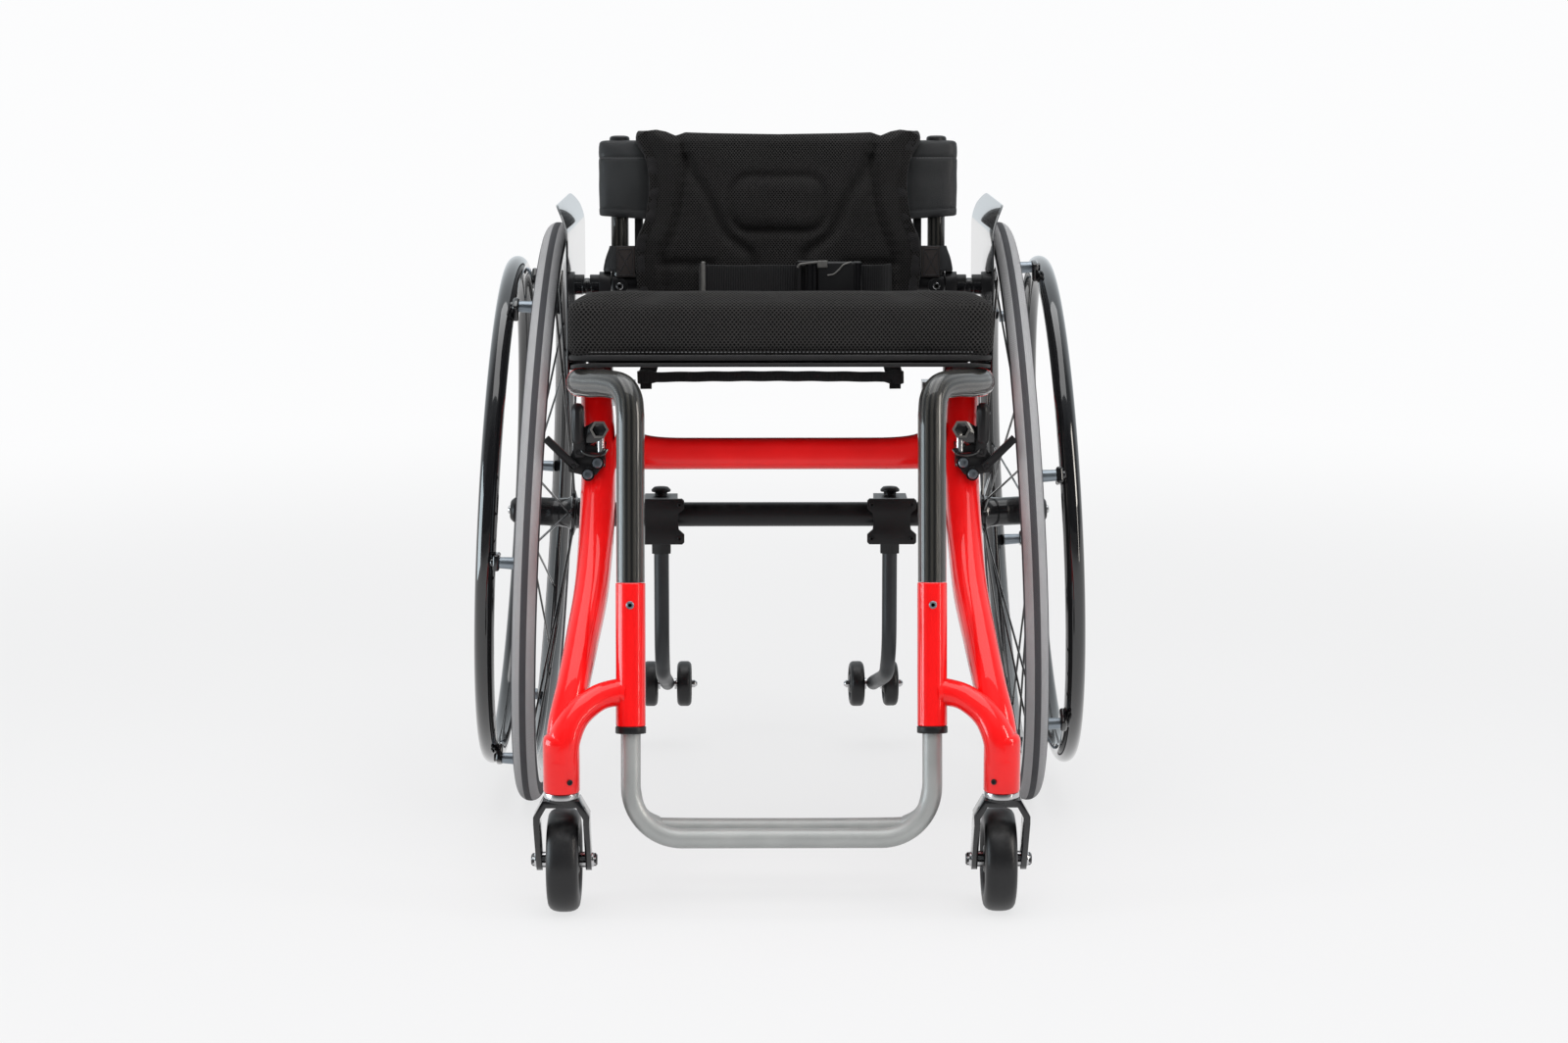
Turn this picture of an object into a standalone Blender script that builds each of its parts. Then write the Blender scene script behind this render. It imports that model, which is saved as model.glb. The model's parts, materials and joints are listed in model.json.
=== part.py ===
"""Active sports wheelchair: rigid red side frames, carbon front tubes, folding back.

Metres, +Z up, the chair faces -Y and +X is the occupant's left. The origin is on the
floor under the middle of the chair's box. Run it with blender --background --python
part.py, or from the text editor.
"""
import math

import bmesh
import bpy
from mathutils import Matrix, Vector

for old in list(bpy.data.objects):
    bpy.data.objects.remove(old, do_unlink=True)

GAP = 0.0003                     # left between pieces that touch
SIDES = (("left", 1.0), ("right", -1.0))

# Driving dimensions. Every place along Y is counted from the rear hub line.
HUB_Y = 0.0948                   # hub line behind the middle of the chair's box
TYRE_R = 0.2975                  # 25-540 tyre, measured across its flats
TYRE_WIDTH = 0.0240
WHEEL_STEPS = 32                 # facets round a rear wheel, one flat on the floor
CAMBER = math.radians(3.0)
HUB_X = 0.2395
HUB_Z = TYRE_R * math.cos(CAMBER)
RIM_OUTER_R = 0.2750
RIM_INNER_R = 0.2535
PUSHRIM_R = 0.2513               # to the middle of its tube
PUSHRIM_TUBE_R = 0.0097
PUSHRIM_OUT = 0.0406             # from the wheel's middle plane, along the axle
HUB_INNER = -0.0347              # ends of the hub barrel along the axle
HUB_OUTER = 0.0285
SPOKES_PER_SIDE = 10
WHEEL_PHASE = {"left": math.radians(14.0), "right": math.radians(28.0)}

CASTER_R = 0.0470
CASTER_WIDTH = 0.0290
CASTER_HUB_R = 0.0287
CASTER_TRAIL = 0.0280
CASTER_AXLE_Y = HUB_Y - 0.4400
STEM_Y = CASTER_AXLE_Y - CASTER_TRAIL
STEM_X = 0.1967
HOUSING_R = 0.0165
HOUSING_BOTTOM = 0.1178
HOUSING_TOP = 0.1710
STEM_R = 0.0060
RING_R = 0.0152
RING_BOTTOM = 0.1121
FORK_TOP = 0.1115

RAIL_X = 0.1857
RAIL_R = 0.0135
RAIL_FRONT_Y = HUB_Y - 0.3000
RAIL_REAR_Y = HUB_Y + 0.1000
RAIL_FRONT_Z = 0.4655
SEAT_ANGLE = math.radians(6.0)
SEAT_SLOPE = math.tan(SEAT_ANGLE)

HANGER_X = 0.1356
HANGER_RAKE = math.radians(9.0)
HANGER_TOP_Z = 0.4500
HANGER_TOP_Y = HUB_Y - 0.3980
CARBON_R = 0.0128
SLEEVE_R = 0.0134
SLEEVE_TOP = 0.2985
SLEEVE_BOTTOM = 0.1712
FOOT_TUBE_R = 0.0089
SLEEVE_BORE_R = 0.0094
COLLAR_HEIGHT = 0.0062

AXLE_TUBE_R = 0.0125
AXLE_TUBE_Z = 0.2940
AXLE_TUBE_HALF = 0.1960
PLATE_X = 0.1545                 # middle of the axle plates' thickness
PLATE_THICK = 0.0130

PIVOT_Y = HUB_Y + 0.0800
PIVOT_Z = 0.5270
POST_X = 0.1650
POST_R = 0.0092
BACK_LEAN = math.radians(4.0)

GUARD_INNER_X = 0.1995
GUARD_THICK = 0.0020

BRAKE_Y = HUB_Y - 0.2790         # front face of the brake clamps
HANDLE_PIVOT = (0.1880, 0.3985)
SHOE_PIVOT = (0.1935, 0.3850)
BRAKE_PIN_R = 0.0022

TIP_X = {"left": 0.1162, "right": 0.1222}    # swivel lines of the anti-tip tubes
TIP_YAW = {"left": math.radians(3.0), "right": 0.0}
TIP_Y = HUB_Y + 0.0330
TIP_REACH = 0.1850
TIP_AXLE_Z = 0.0690
TIP_TUBE_R = 0.0078
TIP_WHEEL_R = 0.0250
TIP_WHEEL_X = 0.01875            # each side of the tube
TIP_CLAMP_Z = 0.2890


def seat_line(y, above=0.0):
    """Height over the floor of a line that runs with the seat rails' axis."""
    return RAIL_FRONT_Z - (y - RAIL_FRONT_Y) * SEAT_SLOPE + above


def hanger_point(z, side=1.0, x=HANGER_X):
    """A point on a front tube's axis, which leans forward towards the foot."""
    return Vector((side * x, HANGER_TOP_Y - (HANGER_TOP_Z - z) * math.tan(HANGER_RAKE), z))


chair = bpy.data.collections.new("sports_wheelchair")
guides = bpy.data.collections.new("cutters")
for made in (chair, guides):
    bpy.context.scene.collection.children.link(made)


def material(name, colour, roughness, metallic=0.0):
    made = bpy.data.materials.new(name)
    made.use_nodes = True
    shader = made.node_tree.nodes["Principled BSDF"]
    shader.inputs["Base Color"].default_value = (*colour, 1.0)
    shader.inputs["Roughness"].default_value = roughness
    shader.inputs["Metallic"].default_value = metallic
    made.diffuse_color = (*colour, 1.0)
    return made


RED = material("red_lacquer", (0.80, 0.012, 0.008), 0.18)
CARBON = material("clear_coated_carbon", (0.030, 0.031, 0.033), 0.16)
BLACK = material("black_anodised", (0.022, 0.022, 0.024), 0.34, 0.6)
GLOSS = material("gloss_black", (0.015, 0.016, 0.018), 0.12)
SATIN_GREY = material("satin_grey_tube", (0.30, 0.30, 0.29), 0.38, 0.8)
STEEL = material("bright_steel", (0.62, 0.63, 0.64), 0.25, 1.0)
TYRE = material("grey_tyre", (0.36, 0.35, 0.34), 0.75)
RUBBER = material("black_urethane", (0.020, 0.020, 0.021), 0.45)
MESH_CLOTH = material("spacer_mesh", (0.020, 0.021, 0.023), 0.90)
LEATHERETTE = material("black_leatherette", (0.018, 0.019, 0.022), 0.55)
WEBBING = material("black_webbing", (0.016, 0.016, 0.018), 0.80)
PLASTIC = material("black_plastic", (0.020, 0.020, 0.021), 0.40)


def add(name, mesh, finish, place=None, parent=None, collection=chair):
    """Put a mesh in the scene as a named object, at its place or on its parent."""
    piece = bpy.data.objects.new(name, mesh)
    collection.objects.link(piece)
    if finish is not None:
        mesh.materials.clear()
        mesh.materials.append(finish)
    if place is not None:
        piece.matrix_world = place
    if parent is not None:
        piece.parent = parent
    return piece


def guide(piece):
    """Turn a piece into a cutter or a joined operand, which is no node."""
    for holder in list(piece.users_collection):
        holder.objects.unlink(piece)
    guides.objects.link(piece)
    piece.hide_render = True
    piece.display_type = "WIRE"
    return piece


def joint_empty(name, place, parent=None):
    marker = bpy.data.objects.new(name, None)
    marker.empty_display_size = 0.03
    chair.objects.link(marker)
    marker.matrix_world = place
    if parent is not None:
        marker.parent = parent
    return marker


def finish_mesh(bm, name, angle=35.0):
    bm.normal_update()
    bmesh.ops.recalc_face_normals(bm, faces=bm.faces)
    mesh = bpy.data.meshes.new(name)
    bm.to_mesh(mesh)
    bm.free()
    mesh.shade_smooth()
    mesh.set_sharp_from_angle(angle=math.radians(angle))
    return mesh


def basis(x_axis, y_axis, z_axis, origin):
    turned = Matrix((x_axis, y_axis, z_axis)).transposed().to_4x4()
    return Matrix.Translation(origin) @ turned


def along(start, end):
    """Matrix at start whose Z runs to end."""
    direction = (Vector(end) - Vector(start)).normalized()
    turn = direction.to_track_quat("Z", "Y").to_matrix().to_4x4()
    return Matrix.Translation(start) @ turn


def rod(name, start, end, radius, finish=None, sides=12, top_radius=None, parent=None):
    """A cylinder or cone between two points."""
    length = (Vector(end) - Vector(start)).length
    bm = bmesh.new()
    bmesh.ops.create_cone(bm, cap_ends=True, segments=sides, radius1=radius,
                          radius2=radius if top_radius is None else top_radius, depth=length)
    bmesh.ops.translate(bm, verts=bm.verts, vec=(0, 0, length / 2))
    bm.transform(along(start, end))
    return add(name, finish_mesh(bm, name), finish, parent=parent)


def block(name, size, place, finish=None, bevel=0.0, parent=None):
    """A box of that size centred on its place, its edges rounded by a Bevel."""
    bm = bmesh.new()
    bmesh.ops.create_cube(bm, size=1.0)
    bmesh.ops.scale(bm, vec=size, verts=bm.verts)
    bm.transform(place)
    piece = add(name, finish_mesh(bm, name), finish, parent=parent)
    if bevel:
        rounded = piece.modifiers.new("rounded edges", "BEVEL")
        rounded.width = bevel
        rounded.segments = 1
    return piece


def turned(name, profile, finish, steps=24, place=None, parent=None, closed=False, phase=0.0):
    """A turned piece: (radius, height) points, from the top down the outer side."""
    edges = [(i, i + 1) for i in range(len(profile) - 1)]
    if closed:
        edges.append((len(profile) - 1, 0))
    turn = Matrix.Rotation(phase, 3, "Z")
    points = [turn @ Vector((radius, 0.0, height)) for radius, height in profile]
    mesh = bpy.data.meshes.new(name)
    mesh.from_pydata(points, edges, [])
    piece = add(name, mesh, finish, place, parent)
    screw = piece.modifiers.new("turned", "SCREW")
    screw.axis = "Z"
    screw.angle = math.tau
    screw.steps = steps
    screw.render_steps = steps
    screw.use_merge_vertices = True
    screw.merge_threshold = 0.00005
    screw.use_smooth_shade = True
    return piece


def smooth_points(anchors, count):
    """Points along the smooth curve through a few anchors, at an even pace."""
    anchors = [Vector(point) for point in anchors]
    ends = [2 * anchors[0] - anchors[1]] + anchors + [2 * anchors[-1] - anchors[-2]]
    dense = []
    for i in range(1, len(ends) - 2):
        before, here, there, after = ends[i - 1:i + 3]
        for k in range(24):
            t = k / 24
            dense.append(0.5 * (2 * here + (there - before) * t
                                + (2 * before - 5 * here + 4 * there - after) * t * t
                                + (3 * here - before - 3 * there + after) * t ** 3))
    dense.append(anchors[-1])
    lengths = [0.0]
    for a, b in zip(dense, dense[1:]):
        lengths.append(lengths[-1] + (b - a).length)
    points = []
    for i in range(count):
        wanted = lengths[-1] * i / (count - 1)
        k = max(j for j in range(len(lengths)) if lengths[j] <= wanted + 1e-12)
        if k == len(dense) - 1:
            points.append(dense[-1].copy())
        else:
            share = (wanted - lengths[k]) / (lengths[k + 1] - lengths[k])
            points.append(dense[k].lerp(dense[k + 1], share))
    return points


def tube(name, points, radius, finish, resolution=4, parent=None, cyclic=False, as_mesh=False):
    """A round tube along points, its ends capped."""
    data = bpy.data.curves.new(name, "CURVE")
    data.dimensions = "3D"
    data.bevel_depth = radius
    data.bevel_resolution = resolution
    data.use_fill_caps = not cyclic
    spline = data.splines.new("POLY")
    spline.points.add(len(points) - 1)
    for target, point in zip(spline.points, points):
        target.co = (*point, 1.0)
    spline.use_cyclic_u = cyclic
    spline.use_smooth = True
    piece = bpy.data.objects.new(name, data)
    chair.objects.link(piece)
    if finish is not None:
        data.materials.append(finish)
    if parent is not None:
        piece.parent = parent
    return solid(piece, finish) if as_mesh else piece


def outline(name, points, thickness, place, finish, holes=(), as_mesh=False, parent=None, bevel=0.0):
    """A flat plate: a closed outline of (x, y) points with holes, in its place's XY plane."""
    data = bpy.data.curves.new(name, "CURVE")
    data.dimensions = "2D"
    data.fill_mode = "BOTH"
    data.extrude = thickness / 2 - bevel
    data.bevel_depth = bevel
    data.bevel_resolution = 0
    for ring in (points, *holes):
        spline = data.splines.new("POLY")
        spline.points.add(len(ring) - 1)
        for target, point in zip(spline.points, ring):
            target.co = (point[0], point[1], 0.0, 1.0)
        spline.use_cyclic_u = True
    if finish is not None:
        data.materials.append(finish)
    piece = bpy.data.objects.new(name, data)
    chair.objects.link(piece)
    piece.matrix_world = place
    if parent is not None:
        piece.parent = parent
    return solid(piece, finish) if as_mesh else piece


def solid(piece, finish):
    """Make a curve object a welded mesh object, ready for cuts."""
    bpy.context.view_layer.update()
    ready = piece.evaluated_get(bpy.context.evaluated_depsgraph_get())
    mesh = bpy.data.meshes.new_from_object(ready)
    bm = bmesh.new()
    bm.from_mesh(mesh)
    bmesh.ops.remove_doubles(bm, verts=bm.verts, dist=0.00002)
    bmesh.ops.recalc_face_normals(bm, faces=bm.faces)
    bm.to_mesh(mesh)
    bm.free()
    name, place, parent = piece.name, piece.matrix_basis.copy(), piece.parent
    bpy.data.objects.remove(piece, do_unlink=True)
    mesh.name = name
    mesh.shade_smooth()
    mesh.set_sharp_from_angle(angle=math.radians(35.0))
    return add(name, mesh, finish, place, parent)


def combine(piece, operation, *operands):
    """Cut or join with operands, which become guides."""
    for operand in operands:
        change = piece.modifiers.new(operation.lower(), "BOOLEAN")
        change.operation = operation
        change.solver = "EXACT"
        change.object = guide(operand)
    return piece


def arc(centre, radius, start, end, count):
    """Points on a circle in a plane, angles in degrees."""
    found = []
    for i in range(count):
        angle = math.radians(start + (end - start) * i / (count - 1))
        found.append((centre[0] + radius * math.cos(angle), centre[1] + radius * math.sin(angle)))
    return found


def loft(name, stations, finish, sides=14, power=2.4, across=Vector((1, 0, 0)), crease=0.0):
    """A hydroformed tube: (centre, half width, half depth) sections joined in turn.

    The width runs along the across direction and the depth square to it and the path.
    A crease pulls in the flanks, which leaves a ridge along the front and the back.
    """
    bm = bmesh.new()
    rings = []
    centres = [Vector(station[0]) for station in stations]
    for i, (_, half_width, half_depth) in enumerate(stations):
        ahead = centres[min(i + 1, len(centres) - 1)]
        behind = centres[max(i - 1, 0)]
        tangent = (ahead - behind).normalized()
        wide = (across - tangent * across.dot(tangent)).normalized()
        deep = tangent.cross(wide)
        ring = []
        for k in range(sides):
            angle = math.tau * (k + 0.5) / sides
            c, s = math.cos(angle), math.sin(angle)
            u = math.copysign(abs(c) ** (2 / power), c)
            v = math.copysign(abs(s) ** (2 / power), s)
            pull = 1.0 - crease * (1.0 if k % 2 else 0.0)
            ring.append(bm.verts.new(centres[i] + wide * u * half_width * pull
                                     + deep * v * half_depth * pull))
        rings.append(ring)
    for near, far in zip(rings, rings[1:]):
        for k in range(sides):
            bm.faces.new((near[k], near[(k + 1) % sides], far[(k + 1) % sides], far[k]))
    bm.faces.new(list(reversed(rings[0])))
    bm.faces.new(rings[-1])
    return add(name, finish_mesh(bm, name), finish)


# Rear wheels

# A wheel's own space: Z along the axle outwards, X up in the wheel's plane.
def wheel_place(side):
    axle = Vector((side * math.cos(CAMBER), 0.0, math.sin(CAMBER)))
    up = Vector((-side * math.sin(CAMBER), 0.0, math.cos(CAMBER)))
    return basis(up, axle.cross(up), axle, Vector((side * HUB_X, HUB_Y, HUB_Z)))


def tyre_profile():
    """Section of the tyre, closed, with its flat bead on the rim."""
    half = TYRE_WIDTH / 2
    seat = RIM_OUTER_R + GAP
    crown = ((TYRE_R, 0.0), (TYRE_R - 0.0024, 0.62 * half), (TYRE_R - 0.0110, half), (seat, 0.70 * half))
    upper = [(radius, height) for radius, height in reversed(crown[1:])]
    lower = [(radius, -height) for radius, height in crown[1:]]
    flats = 1.0 / math.cos(math.pi / WHEEL_STEPS)
    return [(radius * flats, height) for radius, height in upper + [crown[0]] + lower]


def rim_profile():
    """Deep aero section: a flat seat outside, a narrow edge towards the hub."""
    half = ((RIM_OUTER_R, 0.0090), (RIM_OUTER_R - 0.0080, 0.0100), (RIM_INNER_R, 0.0030))
    ring = [half[0], *[(r, -h) for r, h in half], *[(r, h) for r, h in reversed(half[1:])]]
    flats = 1.0 / math.cos(math.pi / WHEEL_STEPS)
    return [(radius * flats, height) for radius, height in ring]


def hub_profile():
    """Barrel with a flange at each end and a bore for the quick-release pin."""
    bore = 0.0068
    return [(bore, HUB_OUTER), (0.0150, HUB_OUTER), (0.0200, HUB_OUTER - 0.0030),
            (0.0200, HUB_OUTER - 0.0065), (0.0168, HUB_OUTER - 0.0110), (0.0165, HUB_INNER + 0.0130),
            (0.0180, HUB_INNER + 0.0060), (0.0198, HUB_INNER + 0.0020), (0.0190, HUB_INNER),
            (bore, HUB_INNER)]


def make_wheel(label, side):
    place = wheel_place(side)
    axle = joint_empty("rear_wheel_axle_" + label, place)
    half_step = math.pi / WHEEL_STEPS
    turned("tyre_" + label, tyre_profile(), TYRE, WHEEL_STEPS, parent=axle, closed=True, phase=half_step)
    turned("rim_" + label, rim_profile(), BLACK, WHEEL_STEPS, parent=axle, closed=True, phase=half_step)

    # Two sets of straight-pull spokes, each leaving its flange at a slant and crossing the next.
    hub = turned("hub_" + label, hub_profile(), GLOSS, 12, parent=axle, closed=True)
    spokes = bpy.data.meshes.new("spokes_" + label)
    bm = bmesh.new()
    for flange, height in (("outer", HUB_OUTER - 0.0048), ("inner", HUB_INNER + 0.0060)):
        for i in range(SPOKES_PER_SIDE):
            leave = math.tau * (i + (0.25 if flange == "inner" else 0.0)) / SPOKES_PER_SIDE
            lean = math.radians(26.0 if i % 2 else -26.0)
            start = Vector((0.0150 * math.cos(leave), 0.0150 * math.sin(leave), height))
            reach = RIM_INNER_R - 0.0006
            end = Vector((reach * math.cos(leave + lean), reach * math.sin(leave + lean),
                          0.0015 if flange == "outer" else -0.0015))
            made = bmesh.ops.create_cone(bm, cap_ends=True, segments=3, radius1=0.0013,
                                         radius2=0.0013, depth=(end - start).length)
            bmesh.ops.transform(bm, verts=made["verts"],
                                matrix=along(start, end) @ Matrix.Translation(
                                    (0, 0, (end - start).length / 2)))
    bm.to_mesh(spokes)
    bm.free()
    lacing = add("spoke_set_" + label, spokes, BLACK, parent=axle)
    combine(hub, "UNION", lacing)

    # Hand rim with six tabs, each on a round spacer that stands on the rim.
    flats = 1.0 / math.cos(math.pi / WHEEL_STEPS)
    ring = [((PUSHRIM_R + PUSHRIM_TUBE_R * math.cos(a)) * flats, PUSHRIM_OUT + PUSHRIM_TUBE_R * math.sin(a))
            for a in (math.pi / 2 - math.tau * k / 6 for k in range(6))]
    pushrim = turned("pushrim_" + label, ring, GLOSS, WHEEL_STEPS, parent=axle, closed=True)
    spacer_r = RIM_OUTER_R - 0.0115
    for i in range(6):
        angle = WHEEL_PHASE[label] + math.tau * i / 6
        outwards = Vector((math.cos(angle), math.sin(angle), 0.0))
        foot = outwards * spacer_r + Vector((0, 0, 0.0100 + GAP))
        spacer = rod(f"spacer_{label}_{i}", foot, foot + Vector((0, 0, 0.0165)), 0.0062, sides=6,
                     parent=axle)
        side_dir = Vector((0, 0, 1)).cross(outwards)
        tab_place = basis(outwards, side_dir, Vector((0, 0, 1)),
                          outwards * (spacer_r - 0.0040) + Vector((0, 0, 0.0295)))
        tab = block(f"tab_{label}_{i}", (0.0190, 0.0160, 0.0075), tab_place, parent=axle)
        combine(pushrim, "UNION", spacer, tab)

    # The pin stays with the frame; its button frees the locking balls.
    pin = [(0.0046, 0.0372), (0.0085, 0.0368), (0.0128, 0.0330), (0.0124, HUB_OUTER + GAP),
           (0.0063, HUB_OUTER + GAP), (0.0063, -0.0740), (0.0, -0.0760)]
    inside = [(0.0, 0.0240), (0.0046, 0.0240)]
    turned("axle_pin_" + label, inside + pin, STEEL, 10, parent=axle)
    button = [(0.0, 0.0398), (0.0030, 0.0396), (0.0042, 0.0386), (0.0042, 0.0275), (0.0, 0.0275)]
    turned("release_button_" + label, button, STEEL, 10, parent=axle)


for label, side in SIDES:
    make_wheel(label, side)


# Side frames

def swoosh_stations(side, grow=0.0):
    """The curved red tube from a caster housing up to its seat rail."""
    anchors = ((0.1967, -0.4680, 0.1440, 0.0150, 0.0150), (0.1945, -0.4530, 0.1740, 0.0150, 0.0165),
               (0.1880, -0.4280, 0.2050, 0.0145, 0.0190), (0.1810, -0.3900, 0.2420, 0.0150, 0.0205),
               (0.1745, -0.3450, 0.2820, 0.0158, 0.0215), (0.1722, -0.2850, 0.3370, 0.0165, 0.0215),
               (0.1728, -0.2350, 0.3900, 0.0160, 0.0200), (0.1762, -0.2000, 0.4350, 0.0150, 0.0175),
               (0.1820, -0.1820, 0.4540, 0.0110, 0.0110))
    found = []
    for x, y, z, half_width, half_depth in smooth_points(anchors, 14):
        found.append((Vector((side * x, HUB_Y + y, z)), half_width + grow, half_depth + grow))
    return found


def rail_ends(side):
    front = Vector((side * RAIL_X, RAIL_FRONT_Y, RAIL_FRONT_Z))
    rear = Vector((side * RAIL_X, RAIL_REAR_Y, seat_line(RAIL_REAR_Y)))
    return front, rear


def rail_cutter(name, side):
    front, rear = rail_ends(side)
    run = (rear - front).normalized() * 0.02
    return rod(name, front - run, rear + run, RAIL_R + GAP, sides=14)


def make_side_frame(label, side):
    body = loft("side_frame_" + label, swoosh_stations(side), RED)
    front, rear = rail_ends(side)
    rail = rod("rail_" + label, front, rear, RAIL_R, sides=14)
    shoulder = [(0.0, HOUSING_TOP), (0.0110, HOUSING_TOP), (HOUSING_R, HOUSING_TOP - 0.0060),
                (HOUSING_R, HOUSING_BOTTOM + 0.0010), (HOUSING_R - 0.0010, HOUSING_BOTTOM),
                (0.0, HOUSING_BOTTOM)]
    housing = turned("housing_" + label, shoulder, None, 14,
                     place=Matrix.Translation((side * STEM_X, STEM_Y, 0.0)))
    arm_path = smooth_points(((0.1380, -0.4355, 0.2125), (0.1475, -0.4340, 0.2130),
                              (0.1650, -0.4450, 0.2060), (0.1860, -0.4620, 0.1830),
                              (0.1962, -0.4700, 0.1500)), 8)
    arm = tube("arm_" + label, [Vector((side * x, HUB_Y + y, z)) for x, y, z in arm_path], 0.0125,
               None, 3, as_mesh=True)
    sleeve = rod("sleeve_" + label, hanger_point(SLEEVE_BOTTOM, side), hanger_point(SLEEVE_TOP, side),
                 SLEEVE_R, sides=14)
    combine(body, "UNION", rail, housing, arm, sleeve)
    leg_bore = rod("leg_bore_" + label, hanger_point(0.15, side), hanger_point(0.2940, side),
                   SLEEVE_BORE_R, sides=12)
    stem_bore = rod("stem_bore_" + label, (side * STEM_X, STEM_Y, 0.10), (side * STEM_X, STEM_Y, 0.1600),
                    STEM_R + GAP, sides=12)
    combine(body, "DIFFERENCE", leg_bore, stem_bore)


def make_carbon_tube(label, side):
    top = hanger_point(0.4470, side)
    bend = ((0.1374, -0.3920, 0.4610), (0.1440, -0.3810, 0.4700), (0.1575, -0.3620, 0.4712),
            (0.1720, -0.3400, 0.4690), (0.1822, -0.3220, 0.4680))
    knee = smooth_points((top, *[(side * x, HUB_Y + y, z) for x, y, z in bend]), 11)
    front, rear = rail_ends(side)
    into_rail = (rear - front).normalized()
    joint = [front - into_rail * reach for reach in (0.0100, GAP * 2)]
    tube("carbon_tube_" + label, [hanger_point(SLEEVE_TOP + GAP, side), *knee, *joint], CARBON_R, CARBON, 4)


for label, side in SIDES:
    make_side_frame(label, side)
    make_carbon_tube(label, side)

BRACE_Y = HUB_Y - 0.2220
BRACE_DEPTH = 0.0140


def make_cross_brace():
    """Flat-oval tube between the side frames, its flared ends cut to fit them."""
    half = ((0.0, 0.3880, 0.0150), (0.1080, 0.3880, 0.0150), (0.1300, 0.3895, 0.0165),
            (0.1460, 0.3925, 0.0195), (0.1580, 0.3960, 0.0235))
    across = [(-x, z, h) for x, z, h in reversed(half[1:])] + list(half)
    brace = loft("cross_brace", [(Vector((x, BRACE_Y, z)), h, BRACE_DEPTH) for x, z, h in across], RED,
                 power=2.8, across=Vector((0, 0, 1)))
    combine(brace, "DIFFERENCE", *[loft("brace_fit_" + label, swoosh_stations(side, GAP), None)
                                   for label, side in SIDES])


def make_axle_tube():
    """Straight tube with a camber plug at each end, bored for the quick-release pins."""
    body = rod("axle_tube", (-AXLE_TUBE_HALF, HUB_Y, AXLE_TUBE_Z), (AXLE_TUBE_HALF, HUB_Y, AXLE_TUBE_Z),
               AXLE_TUBE_R, BLACK, sides=16)
    plug = [(0.0, HUB_INNER - GAP), (0.0150, HUB_INNER - GAP), (0.0165, HUB_INNER - 0.0040),
            (0.0140, HUB_INNER - 0.0200), (0.0105, HUB_INNER - 0.0400), (0.0, HUB_INNER - 0.0400)]
    combine(body, "UNION", *[turned("plug_" + label, plug, None, 12, place=wheel_place(side))
                             for label, side in SIDES])
    for label, side in SIDES:
        bore = rod("pin_bore_" + label, (0, 0, -0.0765), (0, 0, 0.0), 0.0067, sides=12)
        bore.matrix_world = wheel_place(side)
        combine(body, "DIFFERENCE", bore)


make_cross_brace()
make_axle_tube()


def make_axle_bracket(label, side):
    """Polished upright: a ring round the axle tube, a slotted plate and a saddle under the rail."""
    place = basis((0, 1, 0), (0, 0, 1), (1, 0, 0), Vector((side * PLATE_X, 0, 0)))
    rail_z = seat_line(HUB_Y + 0.020)
    upright = ([(HUB_Y + 0.036, rail_z - 0.002), (HUB_Y + 0.004, rail_z - 0.002), (HUB_Y - 0.014, 0.3250)]
               + arc((HUB_Y, AXLE_TUBE_Z), 0.0215, 150, 390, 11) + [(HUB_Y + 0.0265, 0.3300)])
    body = outline("axle_bracket_" + label, upright, PLATE_THICK, place, STEEL, as_mesh=True)
    saddle = block("saddle_" + label, (0.0450, 0.0280, 0.0240),
                   Matrix.Translation((side * 0.1710, HUB_Y + 0.020, rail_z - 0.0140)))
    combine(body, "UNION", saddle)
    hole = rod("axle_hole_" + label, (side * 0.14, HUB_Y, AXLE_TUBE_Z), (side * 0.20, HUB_Y, AXLE_TUBE_Z),
               AXLE_TUBE_R + GAP, sides=16)
    slot = block("slot_" + label, (0.0050, 0.0240, 0.0150),
                 Matrix.Translation((side * 0.1535, HUB_Y - 0.002, 0.4030)))
    combine(body, "DIFFERENCE", rail_cutter("rail_cut_" + label, side), hole, slot)


for label, side in SIDES:
    make_axle_bracket(label, side)

# Collars under the sleeves, which clamp the footrest's legs.
for label, side in SIDES:
    low = hanger_point(SLEEVE_BOTTOM - GAP - COLLAR_HEIGHT, side)
    high = hanger_point(SLEEVE_BOTTOM - GAP, side)
    collar = rod("leg_collar_" + label, low, high, SLEEVE_R + 0.0004, BLACK, sides=16)
    along_leg = (high - low) * 2
    combine(collar, "DIFFERENCE", rod("collar_bore_" + label, low - along_leg, high + along_leg,
                                      SLEEVE_BORE_R, sides=12))


# Casters

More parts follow.
